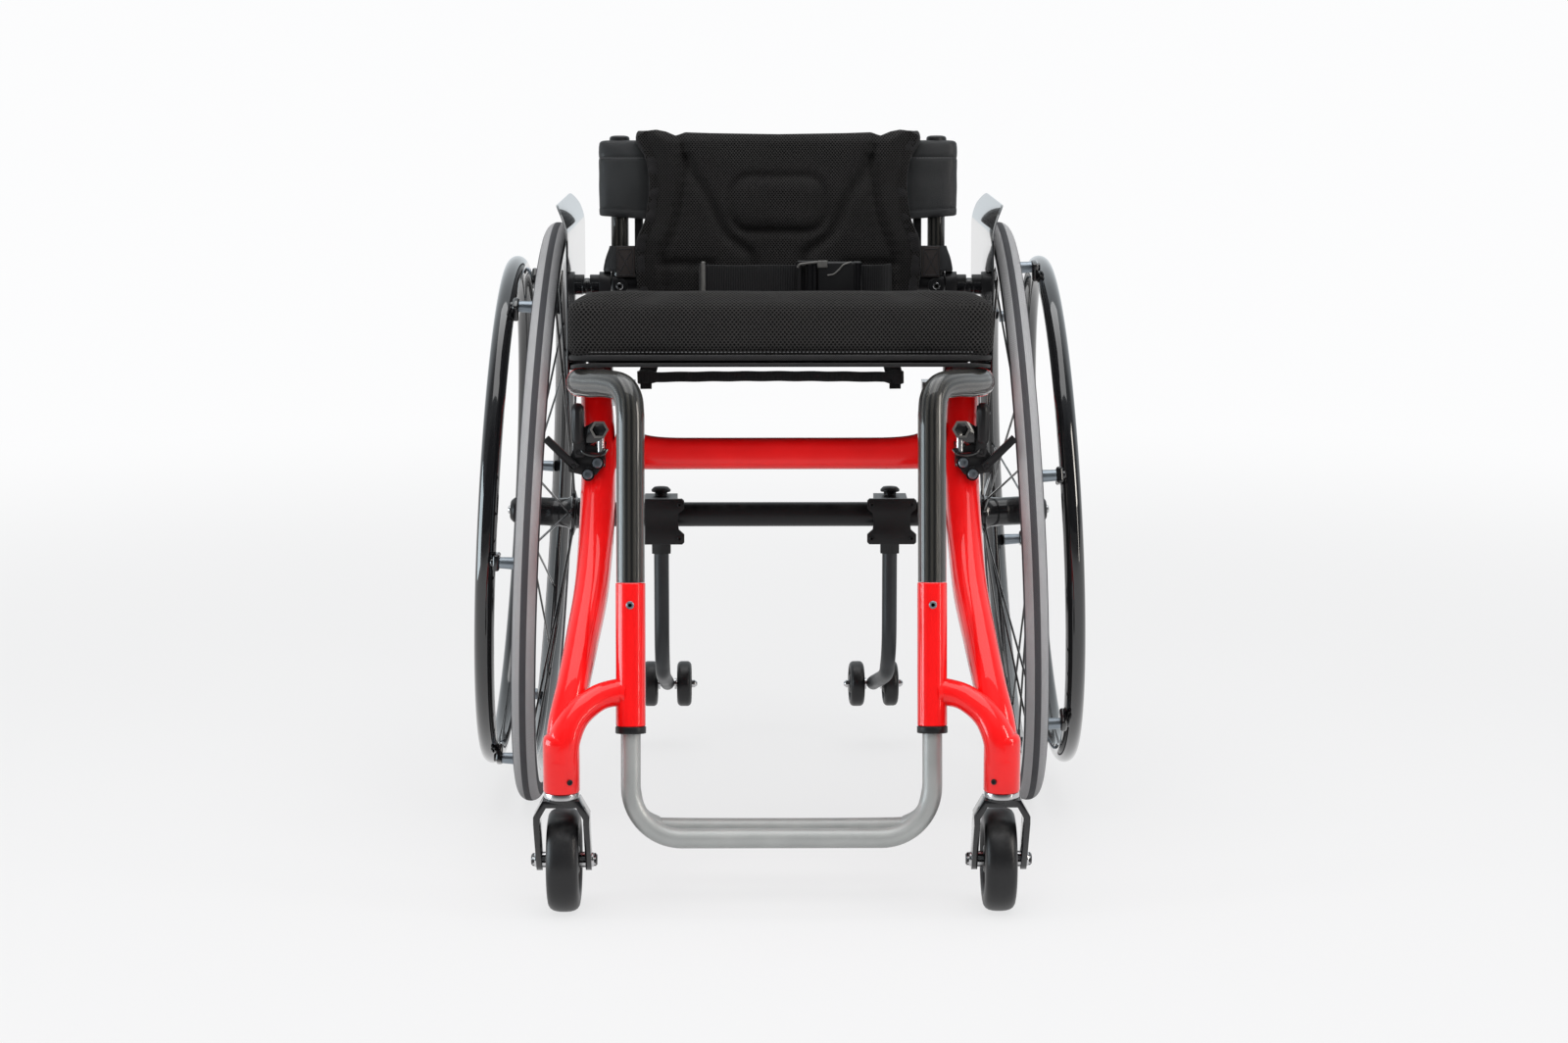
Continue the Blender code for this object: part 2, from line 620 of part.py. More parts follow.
def make_caster(label, side):
    swivel = joint_empty("caster_swivel_" + label, Matrix.Translation((side * STEM_X, STEM_Y, 0.0)))
    front = basis((1, 0, 0), (0, 0, 1), (0, -1, 0), Vector((0, 0, 0)))
    crown = [(-0.0250, 0.0890), (-0.0250, 0.0965), (-0.0165, FORK_TOP), (0.0165, FORK_TOP),
             (0.0250, 0.0965), (0.0250, 0.0890), (0.0195, 0.0890), (0.0195, 0.0945), (0.0135, 0.1050),
             (-0.0135, 0.1050), (-0.0195, 0.0945), (-0.0195, 0.0890)]
    fork = outline("caster_fork_" + label, crown, 0.0250, front, BLACK, as_mesh=True, parent=swivel)
    for x in (-0.02225, 0.02225):
        leg = ([(0.0120, 0.0955), (-0.0120, 0.0955), (-0.0120, 0.0875)]
               + arc((CASTER_TRAIL, CASTER_R), 0.0098, 205, 395, 7))
        across = basis((0, 1, 0), (0, 0, 1), (1, 0, 0), Vector((x, 0, 0)))
        combine(fork, "UNION", outline(f"fork_leg_{label}_{'a' if x < 0 else 'b'}", leg, 0.0053, across,
                                       None, as_mesh=True, parent=swivel))
    stem = [(0.0, 0.1580), (STEM_R - 0.0010, 0.1580), (STEM_R, 0.1570), (STEM_R, HOUSING_BOTTOM - GAP),
            (RING_R - 0.0008, HOUSING_BOTTOM - GAP), (RING_R, HOUSING_BOTTOM - 0.0015),
            (RING_R, RING_BOTTOM), (RING_R - 0.0010, FORK_TOP - 0.0020), (0.0, FORK_TOP - 0.0020)]
    combine(fork, "UNION", turned("stem_" + label, stem, None, 12, parent=swivel))

    wheel = joint_empty("caster_wheel_" + label,
                        basis((0, 0, 1), (0, -1, 0), (1, 0, 0), Vector((0, CASTER_TRAIL, CASTER_R))), swivel)
    flats = 1.0 / math.cos(math.pi / 24)
    half = CASTER_WIDTH / 2
    top = ((CASTER_R * flats, 0.0060), (CASTER_R - 0.0040, half - 0.0010), (CASTER_R - 0.0140, half),
           (CASTER_HUB_R + GAP, 0.0112))
    ring = [(r, h) for r, h in reversed(top)] + [(r, -h) for r, h in top]
    turned("caster_tyre_" + label, ring, RUBBER, 24, parent=wheel, closed=True, phase=math.pi / 24)
    face = ((CASTER_HUB_R, 0.0105), (0.0262, 0.0112), (0.0245, 0.0060), (0.0125, 0.0060), (0.0115, 0.0134),
            (0.0046, 0.0134))
    ring = [(r, h) for r, h in reversed(face)] + [(r, -h) for r, h in face]
    turned("caster_hub_" + label, ring, PLASTIC, 14, parent=wheel, closed=True)
    bolt = ((0.0, 0.0300), (0.0046, 0.0300), (0.0062, 0.0285), (0.0062, 0.0240), (0.0075, 0.0200),
            (0.0075, 0.0138), (0.0040, 0.0138))
    combine(fork, "UNION", turned("caster_axle_" + label, [*bolt, *[(r, -h) for r, h in reversed(bolt)]],
                                  None, 8, parent=wheel))


for label, side in SIDES:
    make_caster(label, side)

FOOT_BAR_Z = 0.0712
FOOT_LEG_TOP = 0.2690            # the sleeves' bores go on for the footrest's travel
FOOT_CORNER_R = 0.0460


def make_footrest():
    """A front loop and a lower rear loop bent from one size of tube."""
    slide = joint_empty("footrest_slide", Matrix.Identity(4))
    bend_x, bend_z = HANGER_X - FOOT_CORNER_R, FOOT_BAR_Z + FOOT_CORNER_R
    path = [hanger_point(z) for z in (FOOT_LEG_TOP, 0.1600, bend_z)]
    path += [hanger_point(z, 1.0, x) for x, z in arc((bend_x, bend_z), FOOT_CORNER_R, 0, -90, 7)[1:]]
    front_loop = path + [Vector((-x, y, z)) for x, y, z in reversed(path)]
    frame = tube("footrest_frame", front_loop, FOOT_TUBE_R, SATIN_GREY, 3, as_mesh=True, parent=slide)
    half = smooth_points(((HANGER_X, HUB_Y - 0.4485, 0.1330), (HANGER_X, HUB_Y - 0.4300, 0.1080),
                          (0.1310, HUB_Y - 0.4100, 0.0830), (0.1170, HUB_Y - 0.3970, 0.0690),
                          (0.0930, HUB_Y - 0.3920, 0.0645)), 7)
    rear_loop = half + [Vector((-x, y, z)) for x, y, z in reversed(half)]
    combine(frame, "UNION", tube("footrest_rear_bar", rear_loop, FOOT_TUBE_R - 0.0003, None, 3,
                                 as_mesh=True, parent=slide))


make_footrest()

# Seat

SEAT_PLACE = Matrix.Translation((0, RAIL_FRONT_Y, RAIL_FRONT_Z)) @ Matrix.Rotation(-SEAT_ANGLE, 4, "X")
SLING_THICK = 0.0046
SLING_Z = RAIL_R + GAP + SLING_THICK / 2


def rounded_rectangle(x0, x1, y0, y1, radius, steps=4):
    points = []
    for cx, cy, start in ((x1 - radius, y1 - radius, 0), (x0 + radius, y1 - radius, 90),
                          (x0 + radius, y0 + radius, 180), (x1 - radius, y0 + radius, 270)):
        points += arc((cx, cy), radius, start, start + 90, steps)
    return points


outline("seat_sling", rounded_rectangle(-0.1935, 0.1935, -0.0400, 0.3450, 0.0160), SLING_THICK,
        SEAT_PLACE @ Matrix.Translation((0, 0, SLING_Z)), WEBBING, bevel=0.0012)

CUSHION_FRONT = -0.0390
CUSHION_REAR = 0.3370
CUSHION_HALF = 0.1965
CUSHION_THICK = 0.0655
CUSHION_TAPER = 0.12             # share of its thickness lost from front to rear
CUSHION_BASE = SLING_Z + SLING_THICK / 2 + GAP


def cage(low, high, cuts):
    """A box between two corners, cut across at the given places along each axis."""
    bm = bmesh.new()
    bmesh.ops.create_cube(bm, size=1.0)
    middle = (Vector(low) + Vector(high)) / 2
    size = Vector(high) - Vector(low)
    for vert in bm.verts:
        vert.co = middle + Vector(c * s for c, s in zip(vert.co, size))
    for axis, places in enumerate(cuts):
        normal = Vector((axis == 0, axis == 1, axis == 2))
        for place in places:
            geometry = bm.verts[:] + bm.edges[:] + bm.faces[:]
            bmesh.ops.bisect_plane(bm, geom=geometry, dist=0.00001, plane_co=normal * place,
                                   plane_no=normal)
    return bm


def soft_form(name, bm, levels, finish, place=None, parent=None):
    piece = add(name, finish_mesh(bm, name, 180.0), finish, place, parent)
    smooth = piece.modifiers.new("soft", "SUBSURF")
    smooth.levels = levels
    smooth.render_levels = levels
    return piece


def make_cushion():
    """Foam block: drawn in at its foot, crowned in the middle, thinner at the rear."""
    bm = cage((-CUSHION_HALF, CUSHION_FRONT, 0.0), (CUSHION_HALF, CUSHION_REAR, CUSHION_THICK),
              ((0.050 - CUSHION_HALF, CUSHION_HALF - 0.050), (CUSHION_FRONT + 0.044, CUSHION_REAR - 0.040),
               (0.024,)))
    for vert in bm.verts:
        x, y, z = vert.co
        back = (y - CUSHION_FRONT) / (CUSHION_REAR - CUSHION_FRONT)
        inner = abs(x) < CUSHION_HALF - 0.04 and 0.05 < back < 0.95
        if z > 0.05 and inner:
            z += 0.0025
        if z < 0.001:
            x *= 0.985
            y += 0.004 * (0.5 - back)
        vert.co = (x, y, CUSHION_BASE + z * (1.0 - CUSHION_TAPER * back))
    soft_form("seat_cushion", bm, 2, MESH_CLOTH, SEAT_PLACE)


make_cushion()


# Side guards: a thin sheet whose top edge rolls outwards over the tyre.
def make_guard(label, side):
    bm = bmesh.new()
    bmesh.ops.create_grid(bm, x_segments=8, y_segments=8, size=0.5)
    for vert in bm.verts:
        t, s = vert.co.x + 0.5, vert.co.y + 0.5
        y = HUB_Y - 0.2450 + 0.2950 * t
        foot = seat_line(y, -0.0080)
        head = 0.6235 - 0.030 * max(0.0, 1.0 - t / 0.16) ** 2 - 0.012 * max(0.0, (t - 0.86) / 0.14) ** 2
        z = foot + (head - foot) * (1.0 - (1.0 - s) ** 1.7)
        out = 0.0125 * max(0.0, (z - 0.5960) / 0.0275) ** 2
        vert.co = (side * (GUARD_INNER_X + out), y, z)
    bm.normal_update()
    if bm.faces[:][0].normal.x * side < 0:
        bmesh.ops.reverse_faces(bm, faces=bm.faces)
    mesh = bpy.data.meshes.new("side_guard_" + label)
    bm.to_mesh(mesh)
    bm.free()
    mesh.shade_smooth()
    sheet = add("side_guard_" + label, mesh, GLOSS).modifiers.new("sheet", "SOLIDIFY")
    sheet.thickness = GUARD_THICK
    sheet.offset = 1.0


for label, side in SIDES:
    make_guard(label, side)

# Folding back

back_fold = joint_empty("back_fold", Matrix.Translation((0, PIVOT_Y, PIVOT_Z)))
LEAN = Matrix.Rotation(-BACK_LEAN, 4, "X")
POST_LENGTH = 0.1560


def make_back_bracket(label, side):
    """Upright on the rail's end: a saddle, a bar, the fold pin and a stub for the guard."""
    saddle_z = seat_line(PIVOT_Y)
    body = block("back_bracket_" + label, (0.0242, 0.0340, 0.0205),
                 Matrix.Translation((side * 0.1862, PIVOT_Y, saddle_z + 0.0112)), BLACK)
    upright = [(-0.0110, 0.0), (0.0110, 0.0)] + arc((0.0, 0.0980), 0.0110, 0, 180, 7)
    place = basis((0, 1, 0), (0, 0, 1), (1, 0, 0), Vector((side * 0.1805, PIVOT_Y, PIVOT_Z - 0.0980)))
    bar = outline("back_bar_" + label, upright, 0.0120, place, None, as_mesh=True)
    stub = rod("stub_" + label, (side * 0.1780, PIVOT_Y, PIVOT_Z), (side * 0.1965, PIVOT_Y, PIVOT_Z),
               0.0080, sides=14)
    pin = rod("fold_pin_" + label, (side * 0.1500, PIVOT_Y, PIVOT_Z), (side * 0.1780, PIVOT_Y, PIVOT_Z),
              0.0040, sides=10)
    combine(body, "UNION", bar, stub, pin)
    combine(body, "DIFFERENCE", rail_cutter("rail_cut_back_" + label, side))


def make_back_side(label, side):
    post = rod("back_post_" + label, (side * POST_X, 0, 0), LEAN @ Vector((side * POST_X, 0, POST_LENGTH)),
               POST_R, CARBON, sides=12, parent=back_fold)
    knuckle = rod("knuckle_" + label, (side * 0.1400, 0, 0), (side * 0.1738, 0, 0), 0.0105, sides=14,
                  parent=back_fold)
    stay_x = side * 0.1452
    stay = rod("stay_" + label, (stay_x, 0, 0), LEAN @ Vector((stay_x, 0, 0.0679)), 0.0045, sides=8,
               parent=back_fold)
    pivot_bore = rod("pivot_bore_" + label, (side * 0.1496, 0, 0), (side * 0.1900, 0, 0), 0.0043, sides=10,
                     parent=back_fold)
    combine(post, "UNION", knuckle, stay)
    combine(post, "DIFFERENCE", pivot_bore)

    # Leatherette cuff round the post's top and a stitched strap round its foot.
    cuff = [(0.0682, 0.0255, 0.0125), (0.0720, 0.0270, 0.0135), (0.1090, 0.0272, 0.0137),
            (0.1450, 0.0270, 0.0135), (0.1506, 0.0250, 0.0118)]
    body = loft("back_cuff_" + label, [(LEAN @ Vector((side * 0.1600, 0, z)), w, d) for z, w, d in cuff],
                LEATHERETTE, sides=16, power=3.2)
    body.parent = back_fold
    wrap = [(0.0112, 0.0180, 0.0128), (0.0250, 0.0174, 0.0130), (0.0388, 0.0155, 0.0122)]
    strap = loft("post_strap_" + label, [(LEAN @ Vector((side * 0.1690, 0, z)), w, d) for z, w, d in wrap],
                 LEATHERETTE, sides=16, power=3.2)
    strap.parent = back_fold
    for wrapped, which in ((body, "cuff"), (strap, "strap")):
        combine(wrapped, "DIFFERENCE", rod(f"{which}_bore_{label}", LEAN @ Vector((side * POST_X, 0, -0.01)),
                                           LEAN @ Vector((side * POST_X, 0, 0.18)), POST_R + GAP, sides=12,
                                           parent=back_fold))


for label, side in SIDES:
    make_back_bracket(label, side)
    make_back_side(label, side)

PAD_BACK = -0.0140
PAD_THICK = 0.0210
PAD_ROWS = (-0.0290, -0.0120, 0.0200, 0.0500, 0.0850, 0.1280, 0.1500, 0.1600)
VALLEY = ((-0.03, 0.0274), (0.0290, 0.0274), (0.0500, 0.0487), (0.1280, 0.0930), (0.17, 0.0930))
SEAM_X = 0.1035


def between(table, z):
    """Straight interpolation in a short table of (height, value) pairs."""
    for (z0, v0), (z1, v1) in zip(table, table[1:]):
        if z <= z1:
            return v0 + (v1 - v0) * (z - z0) / (z1 - z0)
    return table[-1][1]


def pad_lines(z):
    """Places across the pad at height z: middle, the sloped channel, the side seam, the edge."""
    valley = between(VALLEY, z)
    edge = 0.1475 - 0.0115 * math.exp(-((z - 0.088) / 0.036) ** 2)
    return (0.0, valley * 0.62, valley, (valley + SEAM_X) / 2, SEAM_X, edge - 0.016, edge)


def make_pad():
    """Padded back: sloped channels, side seams, a lumbar swell and a seam near its foot."""
    steps = len(pad_lines(0.0)) - 1
    bm = cage((-steps, PAD_BACK - PAD_THICK, PAD_ROWS[0]), (steps, PAD_BACK, PAD_ROWS[-1]),
              (range(1 - steps, steps), (), PAD_ROWS[1:-1]))
    swell = (0.0020, 0.0010, -0.0050, 0.0005, -0.0055, -0.0005, -0.0080)
    for vert in bm.verts:
        column, y, z = vert.co
        line = round(abs(column))
        x = math.copysign(pad_lines(z)[line], column)
        if y < PAD_BACK - 0.001:
            y -= swell[line]
            if line < 2 and abs(z - 0.085) < 0.001:
                y -= 0.0030
            if abs(z - 0.0200) < 0.001:
                y += 0.0040
            if z < PAD_ROWS[0] + 0.001 or z > PAD_ROWS[-1] - 0.001:
                y += 0.0060
        if z > PAD_ROWS[-1] - 0.001:
            z += 0.0015 * (line > 4) - 0.0030 * (line == 4)
        vert.co = LEAN @ Vector((x, y, z))
    soft_form("back_pad", bm, 1, MESH_CLOTH, parent=back_fold)


make_pad()


# Apron behind the seat, its hem wrapped round a strip that shows under the sling.
def make_hem():
    section = ((-0.0137, 0.0060), (-0.0137, -0.0880), (-0.0190, -0.0915), (-0.0190, -0.1060),
               (-0.0060, -0.1060), (-0.0060, -0.0915), (-0.0111, -0.0880), (-0.0111, 0.0060))
    bm = bmesh.new()
    rings = []
    for x in (-0.1420, -0.1330, -0.1180, -0.04, 0.04, 0.1180, 0.1330, 0.1420):
        flare = 0.0030 * max(0.0, (abs(x) - 0.118) / 0.024)
        ring = []
        for y, z in section:
            drop = flare if z < -0.1 else (-flare if z < -0.089 else 0.0)
            ring.append(bm.verts.new(LEAN @ Vector((x * (1.0 if z < -0.06 else 0.90), y, z - drop))))
        rings.append(ring)
    for near, far in zip(rings, rings[1:]):
        for k in range(len(section)):
            bm.faces.new((near[k], near[(k + 1) % len(section)], far[(k + 1) % len(section)], far[k]))
    bm.faces.new(list(reversed(rings[0])))
    bm.faces.new(rings[-1])
    add("back_hem", finish_mesh(bm, "back_hem"), WEBBING, parent=back_fold)


make_hem()

# Lap belt, standing on edge on the cushion in front of the back.
BELT_Z0, BELT_Z1 = 0.5122, 0.5502
WEBBING_THICK = 0.0026
BUCKLE_SIZE = (0.0670, 0.0110, 0.0420)


def ribbon(name, path, thickness, z0, z1, finish):
    """Webbing on edge: a plan path drawn up into a sheet, which Solidify thickens."""
    bm = bmesh.new()
    feet = [bm.verts.new((*point, z0)) for point in path]
    edges = [bm.edges.new(pair) for pair in zip(feet, feet[1:])]
    risen = bmesh.ops.extrude_edge_only(bm, edges=edges)["geom"]
    tops = [v for v in risen if isinstance(v, bmesh.types.BMVert)]
    bmesh.ops.translate(bm, vec=(0, 0, z1 - z0), verts=tops)
    piece = add(name, finish_mesh(bm, name), finish)
    sheet = piece.modifiers.new("webbing", "SOLIDIFY")
    sheet.thickness = thickness
    sheet.offset = 0.0
    return piece


def make_belt():
    y = HUB_Y + 0.0110
    ribbon("belt_webbing", ((-0.0790, y + 0.0240), (-0.0802, y + 0.0130), (-0.0770, y + 0.0040),
                            (-0.0690, y), (-0.0250, y - 0.0012), (0.0160, y), (0.0850, y),
                            (0.0950, y + 0.0020), (0.1060, y + 0.0080), (0.1160, y + 0.0200)),
           WEBBING_THICK, BELT_Z0, BELT_Z1, WEBBING)
    block("belt_buckle", BUCKLE_SIZE,
          Matrix.Translation((0.0515, y - (WEBBING_THICK + BUCKLE_SIZE[1]) / 2 - GAP, BELT_Z0 + 0.0222)),
          PLASTIC, bevel=0.0020)


make_belt()


# Brakes
def make_brake(label, side):
    """Clamp on the side frame, a lever and a bar that swings down across the tread."""
    facing = basis((side, 0, 0), (0, 0, 1), (0, -side, 0), Vector((0, BRAKE_Y, 0)))
    plate = [(0.1640, 0.3990), (0.1660, 0.3850), (0.1730, 0.3760), (0.1820, 0.3750), (0.1985, 0.3790),
             (0.1995, 0.3900), (0.1925, 0.4030), (0.1840, 0.4050), (0.1790, 0.4050)]
    body = outline("brake_clamp_" + label, plate, 0.0060, facing, BLACK, as_mesh=True)
    hexagon = [(0.1590, 0.4235), (0.1640, 0.4325), (0.1770, 0.4325), (0.1822, 0.4220), (0.1785, 0.4125),
               (0.1660, 0.4110)]
    window = [(0.1655, 0.4180), (0.1655, 0.4275), (0.1755, 0.4275), (0.1755, 0.4180)]
    box = outline("brake_box_" + label, hexagon, 0.0120, facing, None, holes=(window,), as_mesh=True)
    pillar = rod("brake_pillar_" + label, (side * 0.1700, BRAKE_Y, 0.4020), (side * 0.1700, BRAKE_Y, 0.4130),
                 0.0046, sides=10)
    lug = block("brake_lug_" + label, (0.0150, 0.0480, 0.0200),
                Matrix.Translation((side * 0.1722, BRAKE_Y + 0.0240, 0.3930)))
    combine(body, "UNION", box, pillar, lug)
    bolts = bmesh.new()
    for x, z in ((0.1720, 0.3920), (0.1790, 0.3805)):
        made = bmesh.ops.create_cone(bolts, cap_ends=True, segments=8, radius1=0.0048, radius2=0.0040,
                                     depth=0.0060)
        bmesh.ops.transform(bolts, verts=made["verts"], matrix=basis(
            (side, 0, 0), (0, 0, 1), (0, -side, 0), Vector((side * x, BRAKE_Y - 0.0050, z)))
            @ Matrix.Scale(side, 4, (0, 0, 1)))
    bolt_mesh = finish_mesh(bolts, "brake_bolts_" + label)
    combine(body, "UNION", add("brake_bolts_" + label, bolt_mesh, None))
    combine(body, "DIFFERENCE", loft("brake_fit_" + label, swoosh_stations(side, GAP), None))
    for name, (x, z) in (("handle_pin_", HANDLE_PIVOT), ("shoe_pin_", SHOE_PIVOT)):
        combine(body, "UNION", rod(name + label, (side * x, BRAKE_Y, z), (side * x, BRAKE_Y - 0.0090, z),
                                   BRAKE_PIN_R, sides=8))

    front = BRAKE_Y - 0.0033
    handle_joint = joint_empty("brake_handle_pivot_" + label,
                               Matrix.Translation((side * HANDLE_PIVOT[0], front, HANDLE_PIVOT[1])))
    lever = [(-0.0052, -0.0010), (-0.0036, -0.0050), (0.0036, -0.0050), (0.0052, -0.0010), (0.0056, 0.0120),
             (-0.0044, 0.0120)]
    hole_r = BRAKE_PIN_R + GAP
    around = [(hole_r * math.cos(a), hole_r * math.sin(a)) for a in (math.tau * k / 8 for k in range(8))]
    local = basis((side, 0, 0), (0, 0, 1), (0, -side, 0), Vector((0, -0.0028, 0)))
    handle = outline("brake_handle_" + label, lever, 0.0052, local, BLACK, holes=(around,), as_mesh=True,
                     parent=handle_joint)
    grip = [(0.0, 0.0460), (0.0032, 0.0454), (0.0058, 0.0425), (0.0062, 0.0380), (0.0062, 0.0110),
            (0.0050, 0.0080), (0.0, 0.0080)]
    knob = turned("brake_grip_" + label, grip, None, 10, parent=handle_joint,
                  place=Matrix.Translation((side * 0.0016, -0.0030, 0.0)))
    combine(handle, "UNION", knob)

    shoe_joint = joint_empty("brake_shoe_pivot_" + label,
                             Matrix.Translation((side * SHOE_PIVOT[0], front, SHOE_PIVOT[1])))
    tilt = math.radians(45.0)
    bar = [(-0.0045, -0.0035), (0.0370, -0.0035), (0.0370, 0.0035), (0.0060, 0.0038), (-0.0030, 0.0045)]
    turned_bar = [(x * math.cos(tilt) - y * math.sin(tilt), x * math.sin(tilt) + y * math.cos(tilt))
                  for x, y in bar]
    outline("brake_shoe_" + label, turned_bar, 0.0056, local, BLACK, holes=(around,), as_mesh=True,
            parent=shoe_joint)


for label, side in SIDES:
    make_brake(label, side)


# Anti-tip wheels
def make_anti_tip(label, side):
    x0 = side * TIP_X[label]
    facing = basis((1, 0, 0), (0, 0, 1), (0, -1, 0), Vector((x0, HUB_Y - 0.0165, TIP_CLAMP_Z)))
    quarter = [(0.0230, 0.0236), (0.0252, 0.0215), (0.0252, 0.0135), (0.0196, 0.0085)]
    bow = (quarter + [(0.0186, 0.0)] + [(x, -z) for x, z in reversed(quarter)]
           + [(-x, -z) for x, z in quarter] + [(-0.0186, 0.0)] + [(-x, z) for x, z in reversed(quarter)])
    body = outline("anti_tip_clamp_" + label, bow, 0.0050, facing, BLACK, as_mesh=True)
    core = block("clamp_core_" + label, (0.0340, 0.0610, 0.0400),
                 Matrix.Translation((x0, HUB_Y + 0.0148, TIP_CLAMP_Z)))
    dome = turned("clamp_cap_" + label, [(0.0, 0.3185), (0.0075, 0.3175), (0.0100, 0.3150), (0.0100, 0.3130),
                                         (0.0065, 0.3130), (0.0065, 0.3050), (0.0, 0.3050)], None, 14,
                  place=Matrix.Translation((x0, TIP_Y, 0)))
    collar = rod("clamp_collar_" + label, (x0, TIP_Y, 0.2480), (x0, TIP_Y, 0.2720), 0.0112, sides=6)
    combine(body, "UNION", core, dome, collar)
    axle_hole = rod("clamp_axle_" + label, (x0 - 0.04, HUB_Y, AXLE_TUBE_Z), (x0 + 0.04, HUB_Y, AXLE_TUBE_Z),
                    AXLE_TUBE_R + GAP, sides=16)
    socket = rod("clamp_socket_" + label, (x0, TIP_Y, 0.2400), (x0, TIP_Y, 0.3000), TIP_TUBE_R + GAP,
                 sides=12)
    combine(body, "DIFFERENCE", axle_hole, socket)

    turn = Matrix.Rotation(side * TIP_YAW[label], 4, "Z")
    swivel = joint_empty("anti_tip_swivel_" + label, Matrix.Translation((x0, TIP_Y, 0.0)) @ turn)
    path = smooth_points(((0, 0, 0.2000), (0, 0.0015, 0.1550), (0, 0.0160, 0.1270), (0, 0.0450, 0.1080),
                          (0, TIP_REACH - 0.0120, TIP_AXLE_Z + 0.0040), (0, TIP_REACH, TIP_AXLE_Z)), 10)
    arm = tube("anti_tip_tube_" + label, [Vector((0, 0, 0.2990)), *path], TIP_TUBE_R, SATIN_GREY, 3,
               as_mesh=True, parent=swivel)
    axle = basis((0, 0, 1), (0, -1, 0), (1, 0, 0), Vector((0, TIP_REACH, TIP_AXLE_Z)))
    half = [(0.0, 0.0330), (0.0046, 0.0322), (0.0046, 0.0275), (0.0030, 0.0275), (0.0030, 0.0100),
            (0.0062, 0.0100)]
    bolt = turned("anti_tip_bolt_" + label, half + [(r, -h) for r, h in reversed(half)], None, 8,
                  place=axle, parent=swivel)
    combine(arm, "UNION", bolt)
    for which, offset in (("inner", -side * TIP_WHEEL_X), ("outer", side * TIP_WHEEL_X)):
        marker = joint_empty(f"anti_tip_axle_{which}_{label}", basis(
            (0, 0, 1), (0, -1, 0), (1, 0, 0), Vector((offset, TIP_REACH, TIP_AXLE_Z))), swivel)
        top = ((0.0033, 0.0082), (0.0120, 0.0066), (0.0215, 0.0080), (TIP_WHEEL_R, 0.0050))
        turned(f"anti_tip_wheel_{which}_{label}", [*top, *[(r, -h) for r, h in reversed(top)]], RUBBER, 14,
               parent=marker, closed=True)


for label, side in SIDES:
    make_anti_tip(label, side)
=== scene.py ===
# %% [markdown]
# A sports wheelchair, dressed around its imported CAD model. The chair is rigid: two
# red side frames carry carbon tubes in front, cambered wheels at the sides and a short
# folding back. Every piece below is made where the CAD model has it, in metres, with
# +Z up, the chair facing -Y, and its own origin left on the floor.
# The first cell loads the model and hangs each of its solids on an empty for its
# rigid body.

# %% Load the model
import json
import math

import bmesh
import bpy
import numpy as np
from mathutils import Matrix, Vector

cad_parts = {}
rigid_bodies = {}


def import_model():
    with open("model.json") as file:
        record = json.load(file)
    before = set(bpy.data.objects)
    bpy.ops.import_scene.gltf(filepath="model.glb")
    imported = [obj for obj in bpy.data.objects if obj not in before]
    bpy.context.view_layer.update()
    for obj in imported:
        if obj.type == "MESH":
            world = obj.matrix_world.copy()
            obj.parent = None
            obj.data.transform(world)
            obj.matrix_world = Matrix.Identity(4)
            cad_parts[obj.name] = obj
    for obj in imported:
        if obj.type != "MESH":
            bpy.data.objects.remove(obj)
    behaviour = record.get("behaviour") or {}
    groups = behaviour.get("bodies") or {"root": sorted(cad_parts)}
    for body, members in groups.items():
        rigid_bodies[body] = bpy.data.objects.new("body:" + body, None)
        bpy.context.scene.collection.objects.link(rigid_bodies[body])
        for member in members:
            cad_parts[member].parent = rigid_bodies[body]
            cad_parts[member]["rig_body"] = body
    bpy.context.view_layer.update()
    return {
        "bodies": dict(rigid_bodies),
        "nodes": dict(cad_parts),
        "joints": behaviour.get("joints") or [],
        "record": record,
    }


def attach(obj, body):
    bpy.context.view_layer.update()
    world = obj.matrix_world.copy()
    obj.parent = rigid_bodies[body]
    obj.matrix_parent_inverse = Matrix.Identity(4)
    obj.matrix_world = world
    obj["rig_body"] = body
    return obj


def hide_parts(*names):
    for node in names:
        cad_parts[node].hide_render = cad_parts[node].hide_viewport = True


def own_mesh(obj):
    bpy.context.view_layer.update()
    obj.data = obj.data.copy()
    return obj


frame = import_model()
scene = bpy.context.scene
SIDES = (("left", 1.0), ("right", -1.0))
HUB_Y = 0.0948

# %% [markdown]
# The photograph was taken from the front, a little above the seat, with a long lens
# from about three metres. A camera at that place gives the same overlaps: the hand rims
# stand outside the tyres and the anti-tip wheels show between the front tubes.
# The world is white for the camera and dimmer as a light, which keeps each colour near
# its written value. In mirrors it is a cool white behind the chair, grey at the sides
# and dark towards the photographer, and the floor fades the same way, as in a real
# room. Three windows stand beside the chair for mirrors alone: a broad cool one at its
# right hand, a tall warm one and a slit at its left. They draw the streaks on tubes.

# %% Camera
camera_data = bpy.data.cameras.new("camera")
camera_data.lens = 72.05
camera_data.sensor_width = 36.0
camera_data.clip_start, camera_data.clip_end = 0.05, 60.0
camera = bpy.data.objects.new("camera", camera_data)
scene.collection.objects.link(camera)
camera.location = (-0.0190, HUB_Y - 3.2000, 0.8000)
camera.rotation_euler = (math.radians(90.0 - 9.12), 0.0, math.radians(-0.44))
scene.camera = camera
scene.view_settings.view_transform = "Standard"

# %% [markdown]
# Node trees are wired with a few small helpers. The first makes a node, sets its options,
# and either links an input to another node's output or writes a plain value on it.

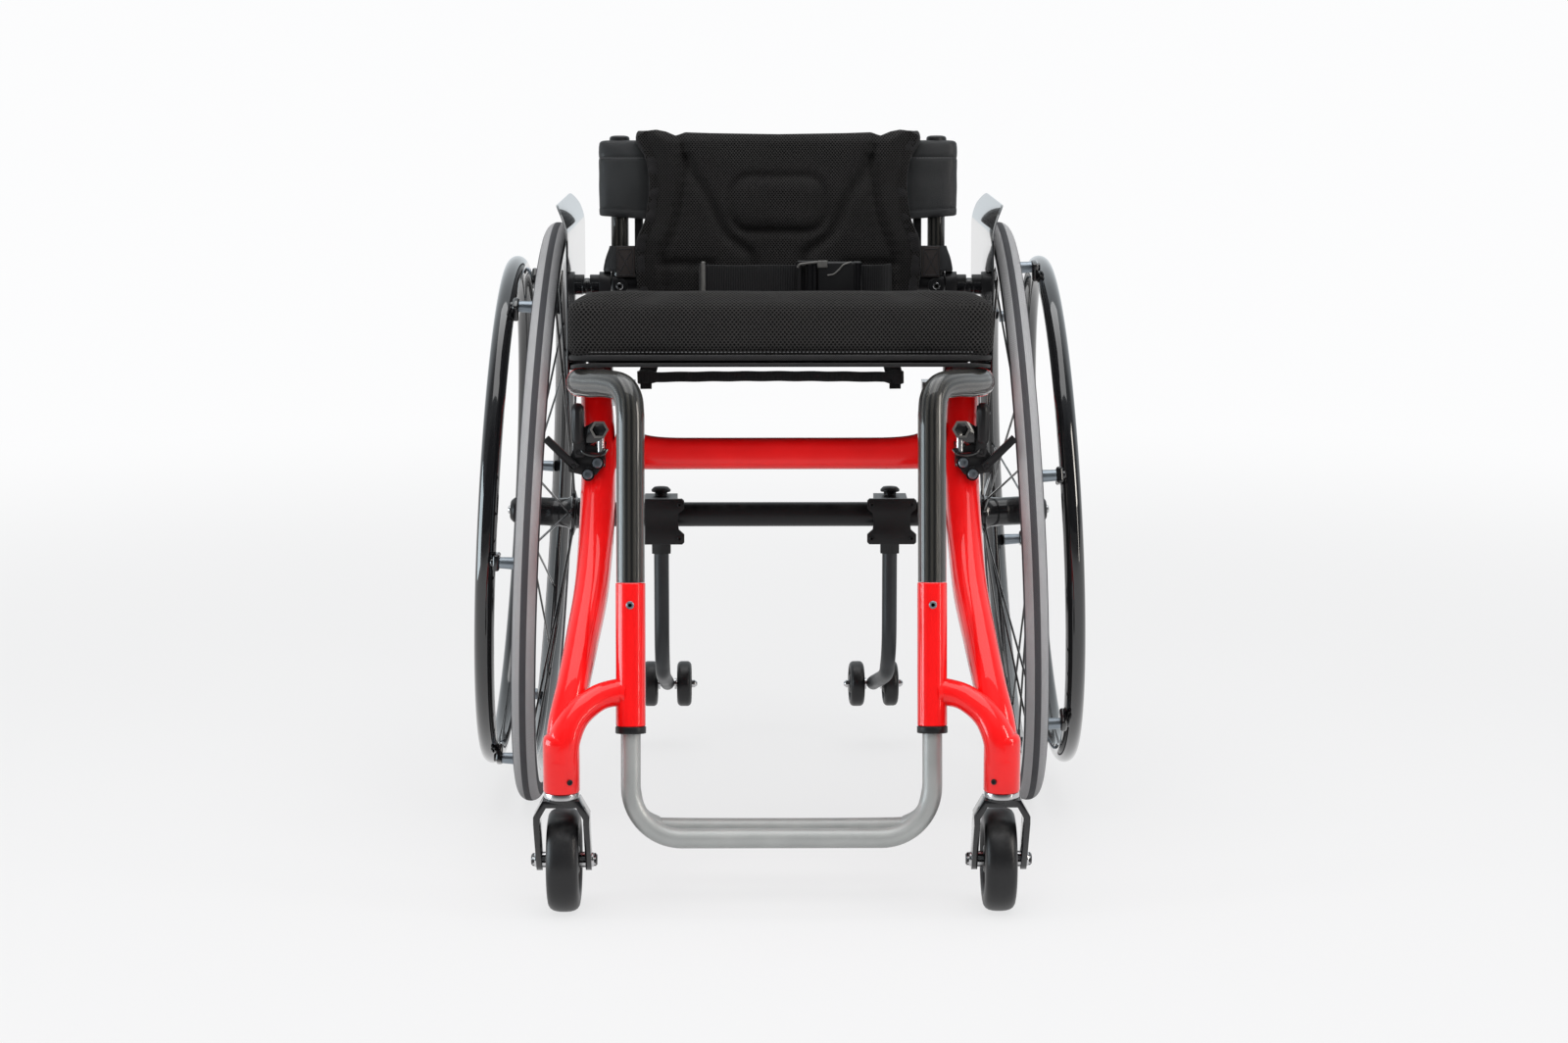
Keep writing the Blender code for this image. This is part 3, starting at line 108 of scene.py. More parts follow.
# %% Node helpers
def add_node(tree, kind, inputs=None, **settings):
    made = tree.nodes.new("ShaderNode" + kind)
    for key, value in settings.items():
        setattr(made, key, value)
    for key, value in (inputs or {}).items():
        if isinstance(value, bpy.types.NodeSocket):
            tree.links.new(value, made.inputs[key])
        else:
            made.inputs[key].default_value = value
    return made


def feed(node, name, value):
    """Links another node's output to an input of a node."""
    node.id_data.links.new(value, node.inputs[name])


def calc(tree, operation, a, b=0.0, c=0.0):
    return add_node(tree, "Math", {0: a, 1: b, 2: c}, operation=operation).outputs[0]


def times(tree, a, b):
    return calc(tree, "MULTIPLY", a, b)


def plus(tree, a, b):
    return calc(tree, "ADD", a, b)


def map_range(tree, value, low, high, to_low=0.0, to_high=1.0, smooth=False):
    made = add_node(tree, "MapRange", {"Value": value, "From Min": low, "From Max": high, "To Min": to_low,
        "To Max": to_high})
    if smooth:
        made.interpolation_type = "SMOOTHSTEP"
    return made.outputs[0]


def blend_colours(tree, factor, first, second):
    """Mixes two colours, of which the first may be another node's output."""
    first = (*first, 1.0) if isinstance(first, tuple) else first
    return add_node(tree, "Mix", {0: factor, 6: first, 7: (*second, 1.0)}, data_type="RGBA").outputs[2]


def blend_values(tree, factor, first, second):
    return add_node(tree, "Mix", {0: factor, 2: first, 3: second}, data_type="FLOAT").outputs[0]


# %% Floor, world and lamps
def seen_directly(tree):
    """1 for rays from the camera, from mirrors and through glass."""
    path = add_node(tree, "LightPath")
    shown = calc(tree, "MAXIMUM", path.outputs["Is Camera Ray"], path.outputs["Is Glossy Ray"])
    return calc(tree, "MAXIMUM", shown, path.outputs["Is Transmission Ray"])


world = bpy.data.worlds.new("studio")
world.use_nodes = True
scene.world = world
tree = world.node_tree
background = tree.nodes["Background"]
path = add_node(tree, "LightPath")
heading = add_node(tree, "SeparateXYZ", {0: add_node(tree, "TexCoord").outputs["Generated"]})
side_walls = map_range(tree, heading.outputs["Y"], -0.80, -0.50, 0.06, 0.22, True)
far_wall = map_range(tree, heading.outputs["Y"], -0.20, 0.35, 0.0, 0.60, True)
mirrored_room = plus(tree, side_walls, far_wall)
tint = blend_colours(tree, path.outputs["Is Glossy Ray"], (0.975, 0.977, 0.982), (0.88, 0.94, 0.98))
feed(background, "Color", tint)
shown = blend_values(tree, path.outputs["Is Glossy Ray"], 1.0, mirrored_room)
feed(background, "Strength", blend_values(tree, seen_directly(tree), 0.44, shown))

FLOOR_SIZE = 30.0
bm = bmesh.new()
bmesh.ops.create_grid(bm, x_segments=1, y_segments=1, size=FLOOR_SIZE / 2)
floor_mesh = bpy.data.meshes.new("floor")
bm.to_mesh(floor_mesh)
bm.free()
floor = bpy.data.objects.new("floor", floor_mesh)
scene.collection.objects.link(floor)
floor_finish = bpy.data.materials.new("pale_floor")
floor_finish.use_nodes = True
tree = floor_finish.node_tree
tree.nodes.clear()
matt = add_node(tree, "BsdfDiffuse", {"Color": (0.62, 0.62, 0.625, 1.0)})
ahead = add_node(tree, "SeparateXYZ", {0: add_node(tree, "TexCoord").outputs["Object"]}).outputs["Y"]
faded = map_range(tree, ahead, -1.9, -0.5, 0.16, 0.90, True)
lit = blend_values(tree, add_node(tree, "LightPath").outputs["Is Glossy Ray"], 1.0, faded)
glow = add_node(tree, "Emission", {"Color": (0.975, 0.977, 0.982, 1.0), "Strength": lit})
away = add_node(tree, "VectorMath", {0: add_node(tree, "TexCoord").outputs["Object"]}, operation="LENGTH")
clear = map_range(tree, away.outputs["Value"], 0.9, 3.2, 0.74, 1.0, True)
share = times(tree, seen_directly(tree), clear)
mixed = add_node(tree, "MixShader", {0: share, 1: matt.outputs[0], 2: glow.outputs[0]})
add_node(tree, "OutputMaterial", {"Surface": mixed.outputs[0]})
floor_mesh.materials.append(floor_finish)


def lamp(name, place, aim, size, watts, mirrored=True, lights=True, colour=(1.0, 1.0, 1.0)):
    data = bpy.data.lights.new(name, "AREA")
    data.shape = "RECTANGLE"
    data.size, data.size_y = size
    data.energy, data.color = watts, colour
    made = bpy.data.objects.new(name, data)
    scene.collection.objects.link(made)
    made.location = place
    made.visible_camera, made.visible_glossy, made.visible_diffuse = False, mirrored, lights
    made.rotation_euler = (Vector(aim) - Vector(place)).to_track_quat("-Z", "Y").to_euler()


COOL, WARM = (0.80, 0.93, 1.0), (1.0, 0.94, 0.86)
lamp("overhead", (0.0, -0.2, 2.9), (0.0, 0.0, 0.3), (2.6, 2.6), 40.0)
lamp("left_light", (-2.4, -1.3, 0.9), (0.0, 0.0, 0.4), (0.6, 2.0), 20.0, False)
lamp("right_light", (2.4, -1.3, 0.9), (0.0, 0.0, 0.4), (0.6, 2.0), 20.0, False)
lamp("front_fill", (0.2, -3.3, 1.3), (0.0, 0.0, 0.4), (2.4, 1.6), 9.0, False)
lamp("high_fill", (0.1, -2.3, 2.6), (0.0, 0.0, 0.3), (2.2, 1.2), 34.0, False)
lamp("left_window", (-1.35, -0.42, 0.32), (0.0, -0.42, 0.32), (0.80, 0.60), 8.9, True, False, COOL)
lamp("right_window", (1.35, -0.85, 0.92), (0.0, 0.10, 0.40), (0.34, 0.80), 6.5, True, False, WARM)
lamp("right_slit", (1.35, -0.95, 0.50), (0.0, 0.10, 0.40), (0.08, 0.96), 2.0, True, False, WARM)

# %% [markdown]
# Effects that many finishes share are node groups, built once. The first is the fine
# unevenness that any cast, coated or moulded surface has: a small grain for a Bump node
# and a slow blotch that shifts colour and roughness a little from place to place.

# %% Group: grain
def new_group(name, inputs, outputs):
    """A node group with a Vector and some numbers as inputs: its tree, inputs and output node."""
    group = bpy.data.node_groups.new(name, "ShaderNodeTree")
    group.interface.new_socket("Vector", in_out="INPUT", socket_type="NodeSocketVector")
    for label, value in inputs.items():
        socket = group.interface.new_socket(label, in_out="INPUT", socket_type="NodeSocketFloat")
        socket.default_value = value
    for label in outputs:
        group.interface.new_socket(label, in_out="OUTPUT", socket_type="NodeSocketFloat")
    entry = group.nodes.new("NodeGroupInput")
    leave = group.nodes.new("NodeGroupOutput")
    return group, entry.outputs, leave


tree, given, leave = new_group("grain", {"Grain Scale": 900.0, "Blotch Scale": 18.0}, ["Height", "Blotch"])
fine = add_node(tree, "TexNoise", {"Vector": given["Vector"], "Scale": given["Grain Scale"], "Detail": 3.0,
    "Roughness": 0.6})
slow = add_node(tree, "TexNoise", {"Vector": given["Vector"], "Scale": given["Blotch Scale"], "Detail": 4.0,
    "Roughness": 0.55})
feed(leave, "Height", fine.outputs[0])
feed(leave, "Blotch", map_range(tree, slow.outputs[0], 0.30, 0.70))

# %% [markdown]
# Dust settles on faces that look up, thinly and in patches, and dulls what it lies on.
# The group reads the surface's own direction, so it works on any piece.

# %% Group: dust
tree, given, leave = new_group("dust", {"Amount": 0.3}, ["Mask"])
facing = add_node(tree, "NewGeometry")
split = add_node(tree, "SeparateXYZ", {0: facing.outputs["Normal"]})
upward = map_range(tree, split.outputs["Z"], 0.35, 1.0)
patches = add_node(tree, "TexNoise", {"Vector": given["Vector"], "Scale": 42.0, "Detail": 6.0,
    "Roughness": 0.7})
patchy = map_range(tree, patches.outputs[0], 0.42, 0.72)
feed(leave, "Mask", times(tree, times(tree, upward, patchy), given["Amount"]))

# %% [markdown]
# Spacer mesh, on the cushion and the back, is a knitted cloth with a grid of small
# holes, each row set half a hole aside from the last. Two overlaid square grids of
# rows make that pattern from the cloth's own coordinates in metres, and the distance to
# the nearest hole gives both its mask and its depth. The finishes colour the holes near
# black: the dark layer under the knit and painted shade down in each hole.

# %% Group: spacer mesh
def hole_distance(tree, across, along, pitch, row):
    """Distance to the nearest hole of a staggered grid, in shares of the pitch."""
    found = []
    for shift in (0.0, 0.5):
        u = plus(tree, calc(tree, "DIVIDE", across, pitch), shift)
        v = plus(tree, calc(tree, "DIVIDE", along, times(tree, row, 2.0)), shift)
        du = calc(tree, "SUBTRACT", calc(tree, "FRACT", u), 0.5)
        dv = times(tree, calc(tree, "SUBTRACT", calc(tree, "FRACT", v), 0.5), 1.25)
        found.append(calc(tree, "SQRT", plus(tree, times(tree, du, du), times(tree, dv, dv))))
    return calc(tree, "MINIMUM", *found)


tree, given, leave = new_group("spacer_mesh", {"Pitch": 0.0036, "Row": 0.0023}, ["Hole", "Height", "Knit"])
split = add_node(tree, "SeparateXYZ", {0: given["Vector"]})
distance = hole_distance(tree, split.outputs["X"], split.outputs["Y"], given["Pitch"], given["Row"])
feed(leave, "Hole", map_range(tree, distance, 0.21, 0.35, 1.0, 0.0, True))
ribs = add_node(tree, "TexWave", {"Vector": given["Vector"], "Scale": 520.0, "Distortion": 1.5},
    bands_direction="DIAGONAL")
raised = map_range(tree, distance, 0.10, 0.45, 0.0, 1.0, True)
feed(leave, "Height", plus(tree, raised, times(tree, ribs.outputs[0], 0.18)))
feed(leave, "Knit", ribs.outputs[0])

# %% [markdown]
# Carbon cloth is a two-by-two twill: each tow passes over two and under two, one step
# further in the next row, which draws the diagonal. Counting tows both ways and taking
# the sum's remainder by four tells which direction lies on top.

# %% Group: twill
tree, given, leave = new_group("twill", {"Tow": 0.0021}, ["Over", "Height"])
split = add_node(tree, "SeparateXYZ", {0: given["Vector"]})
u = calc(tree, "DIVIDE", split.outputs["X"], given["Tow"])
v = calc(tree, "DIVIDE", split.outputs["Y"], given["Tow"])
total = plus(tree, calc(tree, "FLOOR", u), calc(tree, "FLOOR", v))
over = calc(tree, "LESS_THAN", calc(tree, "FLOORED_MODULO", total, 4.0), 1.5)
arch_u = calc(tree, "SINE", times(tree, calc(tree, "FRACT", u), math.pi))
arch_v = calc(tree, "SINE", times(tree, calc(tree, "FRACT", v), math.pi))
feed(leave, "Over", over)
feed(leave, "Height", blend_values(tree, over, arch_u, arch_v))

# %% [markdown]
# Webbing is woven in narrow ribs. Its coordinates run across and along the strap, so
# the ribs follow every bend.

# %% Group: webbing
tree, given, leave = new_group("webbing", {"Thread": 0.0016}, ["Height", "Shade"])
split = add_node(tree, "SeparateXYZ", {0: given["Vector"]})
across = calc(tree, "DIVIDE", split.outputs["X"], given["Thread"])
along = calc(tree, "DIVIDE", split.outputs["Y"], given["Thread"])
rib = calc(tree, "ABSOLUTE", calc(tree, "SINE", times(tree, along, math.pi)))
stagger = plus(tree, across, times(tree, calc(tree, "FLOOR", along), 0.5))
pick = calc(tree, "ABSOLUTE", calc(tree, "SINE", times(tree, stagger, math.pi)))
feed(leave, "Height", times(tree, rib, plus(tree, times(tree, pick, 0.4), 0.6)))
feed(leave, "Shade", map_range(tree, rib, 0.0, 0.9))

# %% [markdown]
# Leatherette is an embossed skin: rounded cells with creases between them.

# %% Group: hide
tree, given, leave = new_group("hide", {"Scale": 620.0}, ["Height"])
cells = add_node(tree, "TexVoronoi", {"Vector": given["Vector"], "Scale": given["Scale"],
    "Randomness": 1.0}, feature="DISTANCE_TO_EDGE")
feed(leave, "Height", map_range(tree, cells.outputs[0], 0.0, 0.12, 0.0, 1.0, True))

# %% [markdown]
# Each finish is a Principled shader whose constant values sit on its own sockets. The
# helper below gives a finish its grain, its slow change of colour and roughness, and
# some dust, and returns what the special finishes add to.

# %% Finishes: the common helper
def use_group(tree, group, **inputs):
    """A group's outputs. An input's name is written with _ for its spaces."""
    made = tree.nodes.new("ShaderNodeGroup")
    made.node_tree = bpy.data.node_groups[group]
    for key, value in inputs.items():
        socket = made.inputs[key.replace("_", " ")]
        if isinstance(value, bpy.types.NodeSocket):
            tree.links.new(value, socket)
        else:
            socket.default_value = value
    return made.outputs


def new_finish(name, roughness, metallic=0.0, coat=0.0, coat_roughness=0.03, specular=0.5, sheen=0.0,
        coat_ior=1.5):
    made = bpy.data.materials.new(name)
    made.use_nodes = True
    shader = made.node_tree.nodes["Principled BSDF"]
    for socket, value in (("Roughness", roughness), ("Metallic", metallic), ("Coat Weight", coat),
            ("Coat Roughness", coat_roughness), ("Specular IOR Level", specular), ("Coat IOR", coat_ior),
            ("Sheen Weight", sheen)):
        shader.inputs[socket].default_value = value
    return made, made.node_tree, shader


def own_place(tree):
    return add_node(tree, "TexCoord").outputs["Object"]


def cloth_place(tree):
    """The piece's own UV map, laid out in metres."""
    return add_node(tree, "UVMap", uv_map="metres").outputs[0]


def bump(tree, shader, height, depth):
    made = add_node(tree, "Bump", {"Height": height, "Strength": 1.0, "Distance": depth})
    feed(shader, "Normal", made.outputs[0])


def plain_finish(name, light, dark, rough, depth, metallic=0.0, coat=0.0, grain=900.0, blotch=18.0,
        dust=0.15, dust_colour=(0.42, 0.41, 0.40), **more):
    """Two shades that drift into each other, rough from rough[0] to rough[1], with fine grain."""
    made, tree, shader = new_finish(name, rough[0], metallic, coat, **more)
    place = own_place(tree)
    grained = use_group(tree, "grain", Vector=place, Grain_Scale=grain, Blotch_Scale=blotch)
    dusty = use_group(tree, "dust", Vector=place, Amount=dust)
    colour = blend_colours(tree, grained["Blotch"], dark, light)
    feed(shader, "Base Color", blend_colours(tree, dusty["Mask"], colour, dust_colour))
    worn = map_range(tree, grained["Blotch"], 0.0, 1.0, rough[0], rough[1])
    feed(shader, "Roughness", plus(tree, worn, times(tree, dusty["Mask"], 0.3)))
    bump(tree, shader, grained["Height"], depth)
    return made


# %% Finishes: metal, lacquer, rubber and plastic
RED = plain_finish("red_lacquer", (0.92, 0.006, 0.007), (0.85, 0.004, 0.005), (0.36, 0.44), 0.000012,
    coat=1.0, coat_ior=1.46, specular=0.12, grain=140.0, blotch=26.0, dust=0.03)
BLACK = plain_finish("satin_black", (0.012, 0.012, 0.013), (0.008, 0.008, 0.009), (0.34, 0.46), 0.00002,
    specular=0.35, grain=1500.0, dust=0.08)
GLOSS = plain_finish("gloss_black", (0.008, 0.008, 0.009), (0.005, 0.005, 0.006), (0.20, 0.28), 0.000008,
    coat=1.0, coat_ior=1.45, specular=0.3, grain=260.0, dust=0.05)
MIRROR_BLACK = plain_finish("polished_black_shell", (0.008, 0.008, 0.009), (0.006, 0.006, 0.007),
    (0.06, 0.10), 0.000004, coat=1.0, grain=90.0, dust=0.02, coat_roughness=0.015)
SATIN_GREY = plain_finish("satin_grey", (0.420, 0.432, 0.424), (0.365, 0.378, 0.372), (0.38, 0.46),
    0.000016, metallic=0.35, grain=2200.0, blotch=30.0, dust=0.08)
DARK_TUBE = plain_finish("satin_slate", (0.032, 0.035, 0.039), (0.023, 0.026, 0.029), (0.36, 0.46),
    0.000016, metallic=0.2, grain=2200.0, blotch=30.0, dust=0.08)
STEEL = plain_finish("bright_steel", (0.68, 0.68, 0.69), (0.58, 0.58, 0.59), (0.20, 0.26), 0.000003,
    metallic=1.0, grain=900.0, blotch=14.0, dust=0.04)
BLUE_STEEL = plain_finish("satin_spacer", (0.34, 0.38, 0.42), (0.26, 0.30, 0.34), (0.30, 0.42), 0.000014,
    metallic=0.9, grain=1500.0, blotch=60.0, dust=0.08)
URETHANE = plain_finish("black_urethane", (0.014, 0.014, 0.015), (0.009, 0.009, 0.010), (0.32, 0.46),
    0.00003, specular=0.45, grain=900.0, blotch=40.0, dust=0.16)
# Pale grey for the edges of small black parts: a painted highlight.
PAINTED_HIGHLIGHT_GREY = plain_finish("highlight_grey_plastic", (0.150, 0.147, 0.140), (0.100, 0.098, 0.094), (0.26, 0.36), 0.00002,
    grain=1900.0, blotch=60.0, dust=0.05)
PLASTIC = plain_finish("black_plastic", (0.014, 0.014, 0.015), (0.009, 0.009, 0.010), (0.30, 0.42), 0.00003,
    specular=0.45, grain=1900.0, blotch=30.0, dust=0.06)

# %% [markdown]
# The tyres are grey rubber with a darker stripe round the crown and fine dots on each
# side of it. Their UV map runs round the section and round the wheel, so a point's
# distance from the crown line is simply its first coordinate.

# %% Finish: tyre
CROWN_HALF, FLANK_END = 0.0029, 0.0128
TYRE, tree, shader = new_finish("grey_tyre", 0.74, specular=0.3)
place = cloth_place(tree)
from_crown = calc(tree, "ABSOLUTE", add_node(tree, "SeparateXYZ", {0: place}).outputs["X"])
dots = use_group(tree, "spacer_mesh", Vector=place, Pitch=0.0024, Row=0.0012)
flank = map_range(tree, from_crown, CROWN_HALF, CROWN_HALF + 0.0006, 0.0, 1.0, True)
wall = map_range(tree, from_crown, FLANK_END, FLANK_END + 0.0008, 1.0, 0.0, True)
soft = use_group(tree, "grain", Vector=own_place(tree), Grain_Scale=1100.0, Blotch_Scale=24.0)
pale = times(tree, times(tree, flank, wall), map_range(tree, dots["Hole"], 0.0, 1.0, 1.0, 0.72))
pale = times(tree, pale, map_range(tree, soft["Blotch"], 0.0, 1.0, 0.90, 1.0))
feed(shader, "Base Color", blend_colours(tree, pale, (0.062, 0.062, 0.068), (0.43, 0.43, 0.44)))
feed(shader, "Roughness", map_range(tree, soft["Blotch"], 0.0, 1.0, 0.68, 0.82))
bump(tree, shader, plus(tree, dots["Height"], times(tree, flank, 0.8)), 0.0002)

# %% [markdown]
# The patterned finishes read the UV map named metres. Carbon has a clear coat over its
# tows, and the smooth coat lies over the woven bump. Its colour is painted sheen: the
# tows on top get a lighter shade than those beneath, for the light that each direction
# of tow catches, and the colour lightens further towards grazing angles.

# %% Finishes: carbon, cloth, webbing and leatherette
CARBON, tree, shader = new_finish("clear_coated_carbon", 0.34, 0.10, coat=1.0, coat_roughness=0.02)
cloth = add_node(tree, "Mapping", {"Vector": cloth_place(tree), "Rotation": (0.0, 0.0, math.radians(45.0))})
woven = use_group(tree, "twill", Vector=cloth.outputs[0], Tow=0.0017)
# Painted sheen: lighter tows on top, and lighter still towards grazing angles.
painted_grazing_sheen = add_node(tree, "LayerWeight", {"Blend": 0.35})
painted_tow_sheen = calc(tree, "MULTIPLY_ADD", woven["Over"], 0.65, times(tree, painted_grazing_sheen.outputs["Facing"], 0.35))
feed(shader, "Base Color", blend_colours(tree, painted_tow_sheen, (0.0022, 0.0022, 0.0022), (0.052, 0.049, 0.043)))
bump(tree, shader, woven["Height"], 0.00014)
feed(shader, "Roughness", map_range(tree, woven["Over"], 0.0, 1.0, 0.46, 0.26))


def knitted_finish(name, thread, hole, pitch, row):
    made, tree, shader = new_finish(name, 0.88, specular=0.12, sheen=0.04)
    knit = use_group(tree, "spacer_mesh", Vector=cloth_place(tree), Pitch=pitch, Row=row)
    soft = use_group(tree, "grain", Vector=own_place(tree), Grain_Scale=1800.0, Blotch_Scale=14.0)
    lively = map_range(tree, soft["Blotch"], 0.0, 1.0, 0.75, 1.0)
    bright = times(tree, lively, map_range(tree, knit["Knit"], 0.0, 1.0, 0.72, 1.0))
    threads = blend_colours(tree, bright, tuple(0.45 * v for v in thread), thread)
    # The hole colour is the dark layer under the knit and painted shade down in each hole.
    feed(shader, "Base Color", blend_colours(tree, knit["Hole"], threads, hole))
    bump(tree, shader, knit["Height"], 0.0006)
    return made


MESH = knitted_finish("spacer_mesh", (0.0350, 0.0335, 0.0330), (0.0006, 0.0006, 0.0007), 0.0037, 0.0023)
BACK_MESH = knitted_finish("back_mesh", (0.0320, 0.0308, 0.0305), (0.0006, 0.0006, 0.0008), 0.0031, 0.0019)
STRAP_CLOTH = knitted_finish("strap_cloth", (0.090, 0.078, 0.074), (0.036, 0.031, 0.030), 0.0016, 0.0010)

WEBBING, tree, shader = new_finish("black_webbing", 0.80, specular=0.3, sheen=0.15)
woven = use_group(tree, "webbing", Vector=cloth_place(tree), Thread=0.0015)
feed(shader, "Base Color", blend_colours(tree, woven["Shade"], (0.004, 0.004, 0.005),
    (0.018, 0.018, 0.019)))
bump(tree, shader, woven["Height"], 0.0003)

RIBBED_WEBBING, tree, shader = new_finish("ribbed_webbing", 0.62, specular=0.4, sheen=0.10)
lines = add_node(tree, "TexWave", {"Vector": cloth_place(tree), "Scale": 130.0, "Distortion": 0.2},
    bands_direction="Y")
woven = use_group(tree, "webbing", Vector=cloth_place(tree), Thread=0.0008)
feed(shader, "Base Color", blend_colours(tree, lines.outputs[0], (0.004, 0.004, 0.005),
    (0.018, 0.018, 0.019)))
ribs = plus(tree, lines.outputs[0], times(tree, woven["Height"], 0.25))
bump(tree, shader, ribs, 0.00025)

TWILL_TAPE, tree, shader = new_finish("twill_tape", 0.85, specular=0.2, sheen=0.15)
slanted = add_node(tree, "Mapping",
    {"Vector": cloth_place(tree), "Rotation": (0.0, 0.0, math.radians(38.0))})
lines = add_node(tree, "TexWave", {"Vector": slanted.outputs[0], "Scale": 210.0, "Distortion": 0.3},
    bands_direction="Y")
feed(shader, "Base Color", blend_colours(tree, lines.outputs[0], (0.005, 0.005, 0.006),
    (0.030, 0.029, 0.030)))
bump(tree, shader, lines.outputs[0], 0.0003)

LEATHERETTE, tree, shader = new_finish("black_leatherette", 0.48, specular=0.45)
place = own_place(tree)
hide = use_group(tree, "hide", Vector=place, Scale=760.0)
soft = use_group(tree, "grain", Vector=place, Grain_Scale=1200.0, Blotch_Scale=22.0)
feed(shader, "Base Color", blend_colours(tree, soft["Blotch"], (0.016, 0.017, 0.018),
    (0.027, 0.028, 0.030)))
feed(shader, "Roughness", map_range(tree, soft["Blotch"], 0.0, 1.0, 0.42, 0.56))
bump(tree, shader, hide["Height"], 0.00012)

THREAD = plain_finish("sewing_thread", (0.030, 0.030, 0.032), (0.018, 0.018, 0.020), (0.70, 0.80), 0.00005,
    grain=2500.0, dust=0.0)
PALE_THREAD = plain_finish("pale_thread", (0.15, 0.15, 0.155), (0.10, 0.10, 0.105), (0.60, 0.75), 0.00005,
    grain=2500.0, dust=0.0)

# %% [markdown]

# %% [markdown]
# Shapes come from a few bmesh moves. A turned part is a profile spun round an axis. A
# tube or a lofted part is one ring of edges, extruded again and again while each new
# ring is moved, turned and scaled to the next station. The rings also carry how far
# round and how far along they lie, from which the UV map in metres is written. Lengths
# are in metres, except in tables of points, which mm() turns from millimetres.

# %% Shape helpers
def place_at(origin, z_axis, x_axis=None):
    """A matrix at a point with its Z along one direction and its X near another."""
    z = Vector(z_axis).normalized()
    x = Vector(x_axis if x_axis is not None else (0, 0, 1) if abs(z.z) < 0.9 else (0, 1, 0))
    x = (x - z * x.dot(z)).normalized()
    y = z.cross(x)
    turned = Matrix((x, y, z)).transposed().to_4x4()
    return Matrix.Translation(origin) @ turned


def smooth_path(anchors, count):
    """Evenly spaced points on the smooth curve through a few anchors of any width."""
    a = np.array(anchors, float)
    a = np.vstack([2 * a[0] - a[1], a, 2 * a[-1] - a[-2]])
    dense = []
    for i in range(1, len(a) - 2):
        t = np.linspace(0.0, 1.0, 24, endpoint=False)[:, None]
        p, q, r, s = a[i - 1:i + 3]
        dense.append(0.5 * (2 * q + (r - p) * t + (2 * p - 5 * q + 4 * r - s) * t ** 2
            + (3 * q - p - 3 * r + s) * t ** 3))
    dense = np.vstack([*dense, a[-2]])
    run = np.concatenate([[0.0], np.cumsum(np.linalg.norm(np.diff(dense[:, :3], axis=0), axis=1))])
    wanted = np.linspace(0.0, run[-1], count)
    return np.stack([np.interp(wanted, run, dense[:, k]) for k in range(dense.shape[1])], axis=1)


LAYERS = ("round", "along", "reach", "total")
NO_SEAM = 1000.0


def start_mesh():
    """A bmesh with the layers that sweeps fill in for the UV map in metres."""
    bm = bmesh.new()
    for label in LAYERS:
        bm.verts.layers.float.new(label)
    bm.loops.layers.uv.new("metres")
    return bm


def mm(*rows):
    """Rows of a table in millimetres, turned into metres."""
    return [tuple(value / 1000 for value in row) for row in rows]


def mirrored(half):
    """A closed profile from its upper half, whose first point lies on the middle plane."""
    return [(r, -h) for r, h in half[1:]] + [(r, h) for r, h in reversed(half)]


def edges_of(verts):
    """Each edge of some vertices once, in the same order every time."""
    return list(dict.fromkeys(edge for vert in verts for edge in vert.link_edges))


def circle_part(bm, sides, radius):
    """The vertices and the edges of a circle."""
    verts = bmesh.ops.create_circle(bm, cap_ends=False, segments=sides, radius=radius)["verts"]
    return verts, edges_of(verts)


def grow_ring(bm, edges):
    """Extrudes a ring of edges and returns the new vertices and the new ring."""
    grown = bmesh.ops.extrude_edge_only(bm, edges=edges)["geom"]
    verts = [g for g in grown if isinstance(g, bmesh.types.BMVert)]
    inside = set(verts)
    return verts, [g for g in grown if isinstance(g, bmesh.types.BMEdge) and set(g.verts) <= inside]


def thicken(bm):
    """Extrudes every face, keeping the first ones, and returns the new vertices."""
    grown = bmesh.ops.extrude_face_region(bm, geom=bm.faces[:], use_keep_orig=True)["geom"]
    return [g for g in grown if isinstance(g, bmesh.types.BMVert)]


def cut_mesh(bm, place, across, clear=False):
    """Cuts the mesh by a plane and returns the cut."""
    return bmesh.ops.bisect_plane(bm, geom=bm.verts[:] + bm.edges[:] + bm.faces[:], plane_co=place,
        plane_no=across, clear_outer=clear)["geom_cut"]


def soften(bm, edges, width, segments=2):
    """Rounds edges and returns the new vertices."""
    return bmesh.ops.bevel(bm, geom=edges, offset=width, offset_type="OFFSET", segments=segments,
        profile=0.5, affect="EDGES", clamp_overlap=True, material=-1)["verts"]


def spin_part(bm, profile, steps, place, closed=False):
    """Spins (radius, height) points round the place's Z axis."""
    before = set(bm.verts)
    made = [bm.verts.new((radius, 0.0, height)) for radius, height in profile]
    pairs = list(zip(made, made[1:])) + ([(made[-1], made[0])] if closed else [])
    edges = [bm.edges.new(pair) for pair in pairs]
    bmesh.ops.spin(bm, geom=made + edges, cent=(0, 0, 0), axis=(0, 0, 1), angle=math.tau, steps=steps,
        use_merge=True, use_duplicate=False)
    new = [v for v in bm.verts if v not in before]
    bmesh.ops.remove_doubles(bm, verts=[v for v in new if v.co.xy.length < 1e-6], dist=1e-6)
    new = [v for v in bm.verts if v not in before]
    bmesh.ops.transform(bm, matrix=place, verts=new)


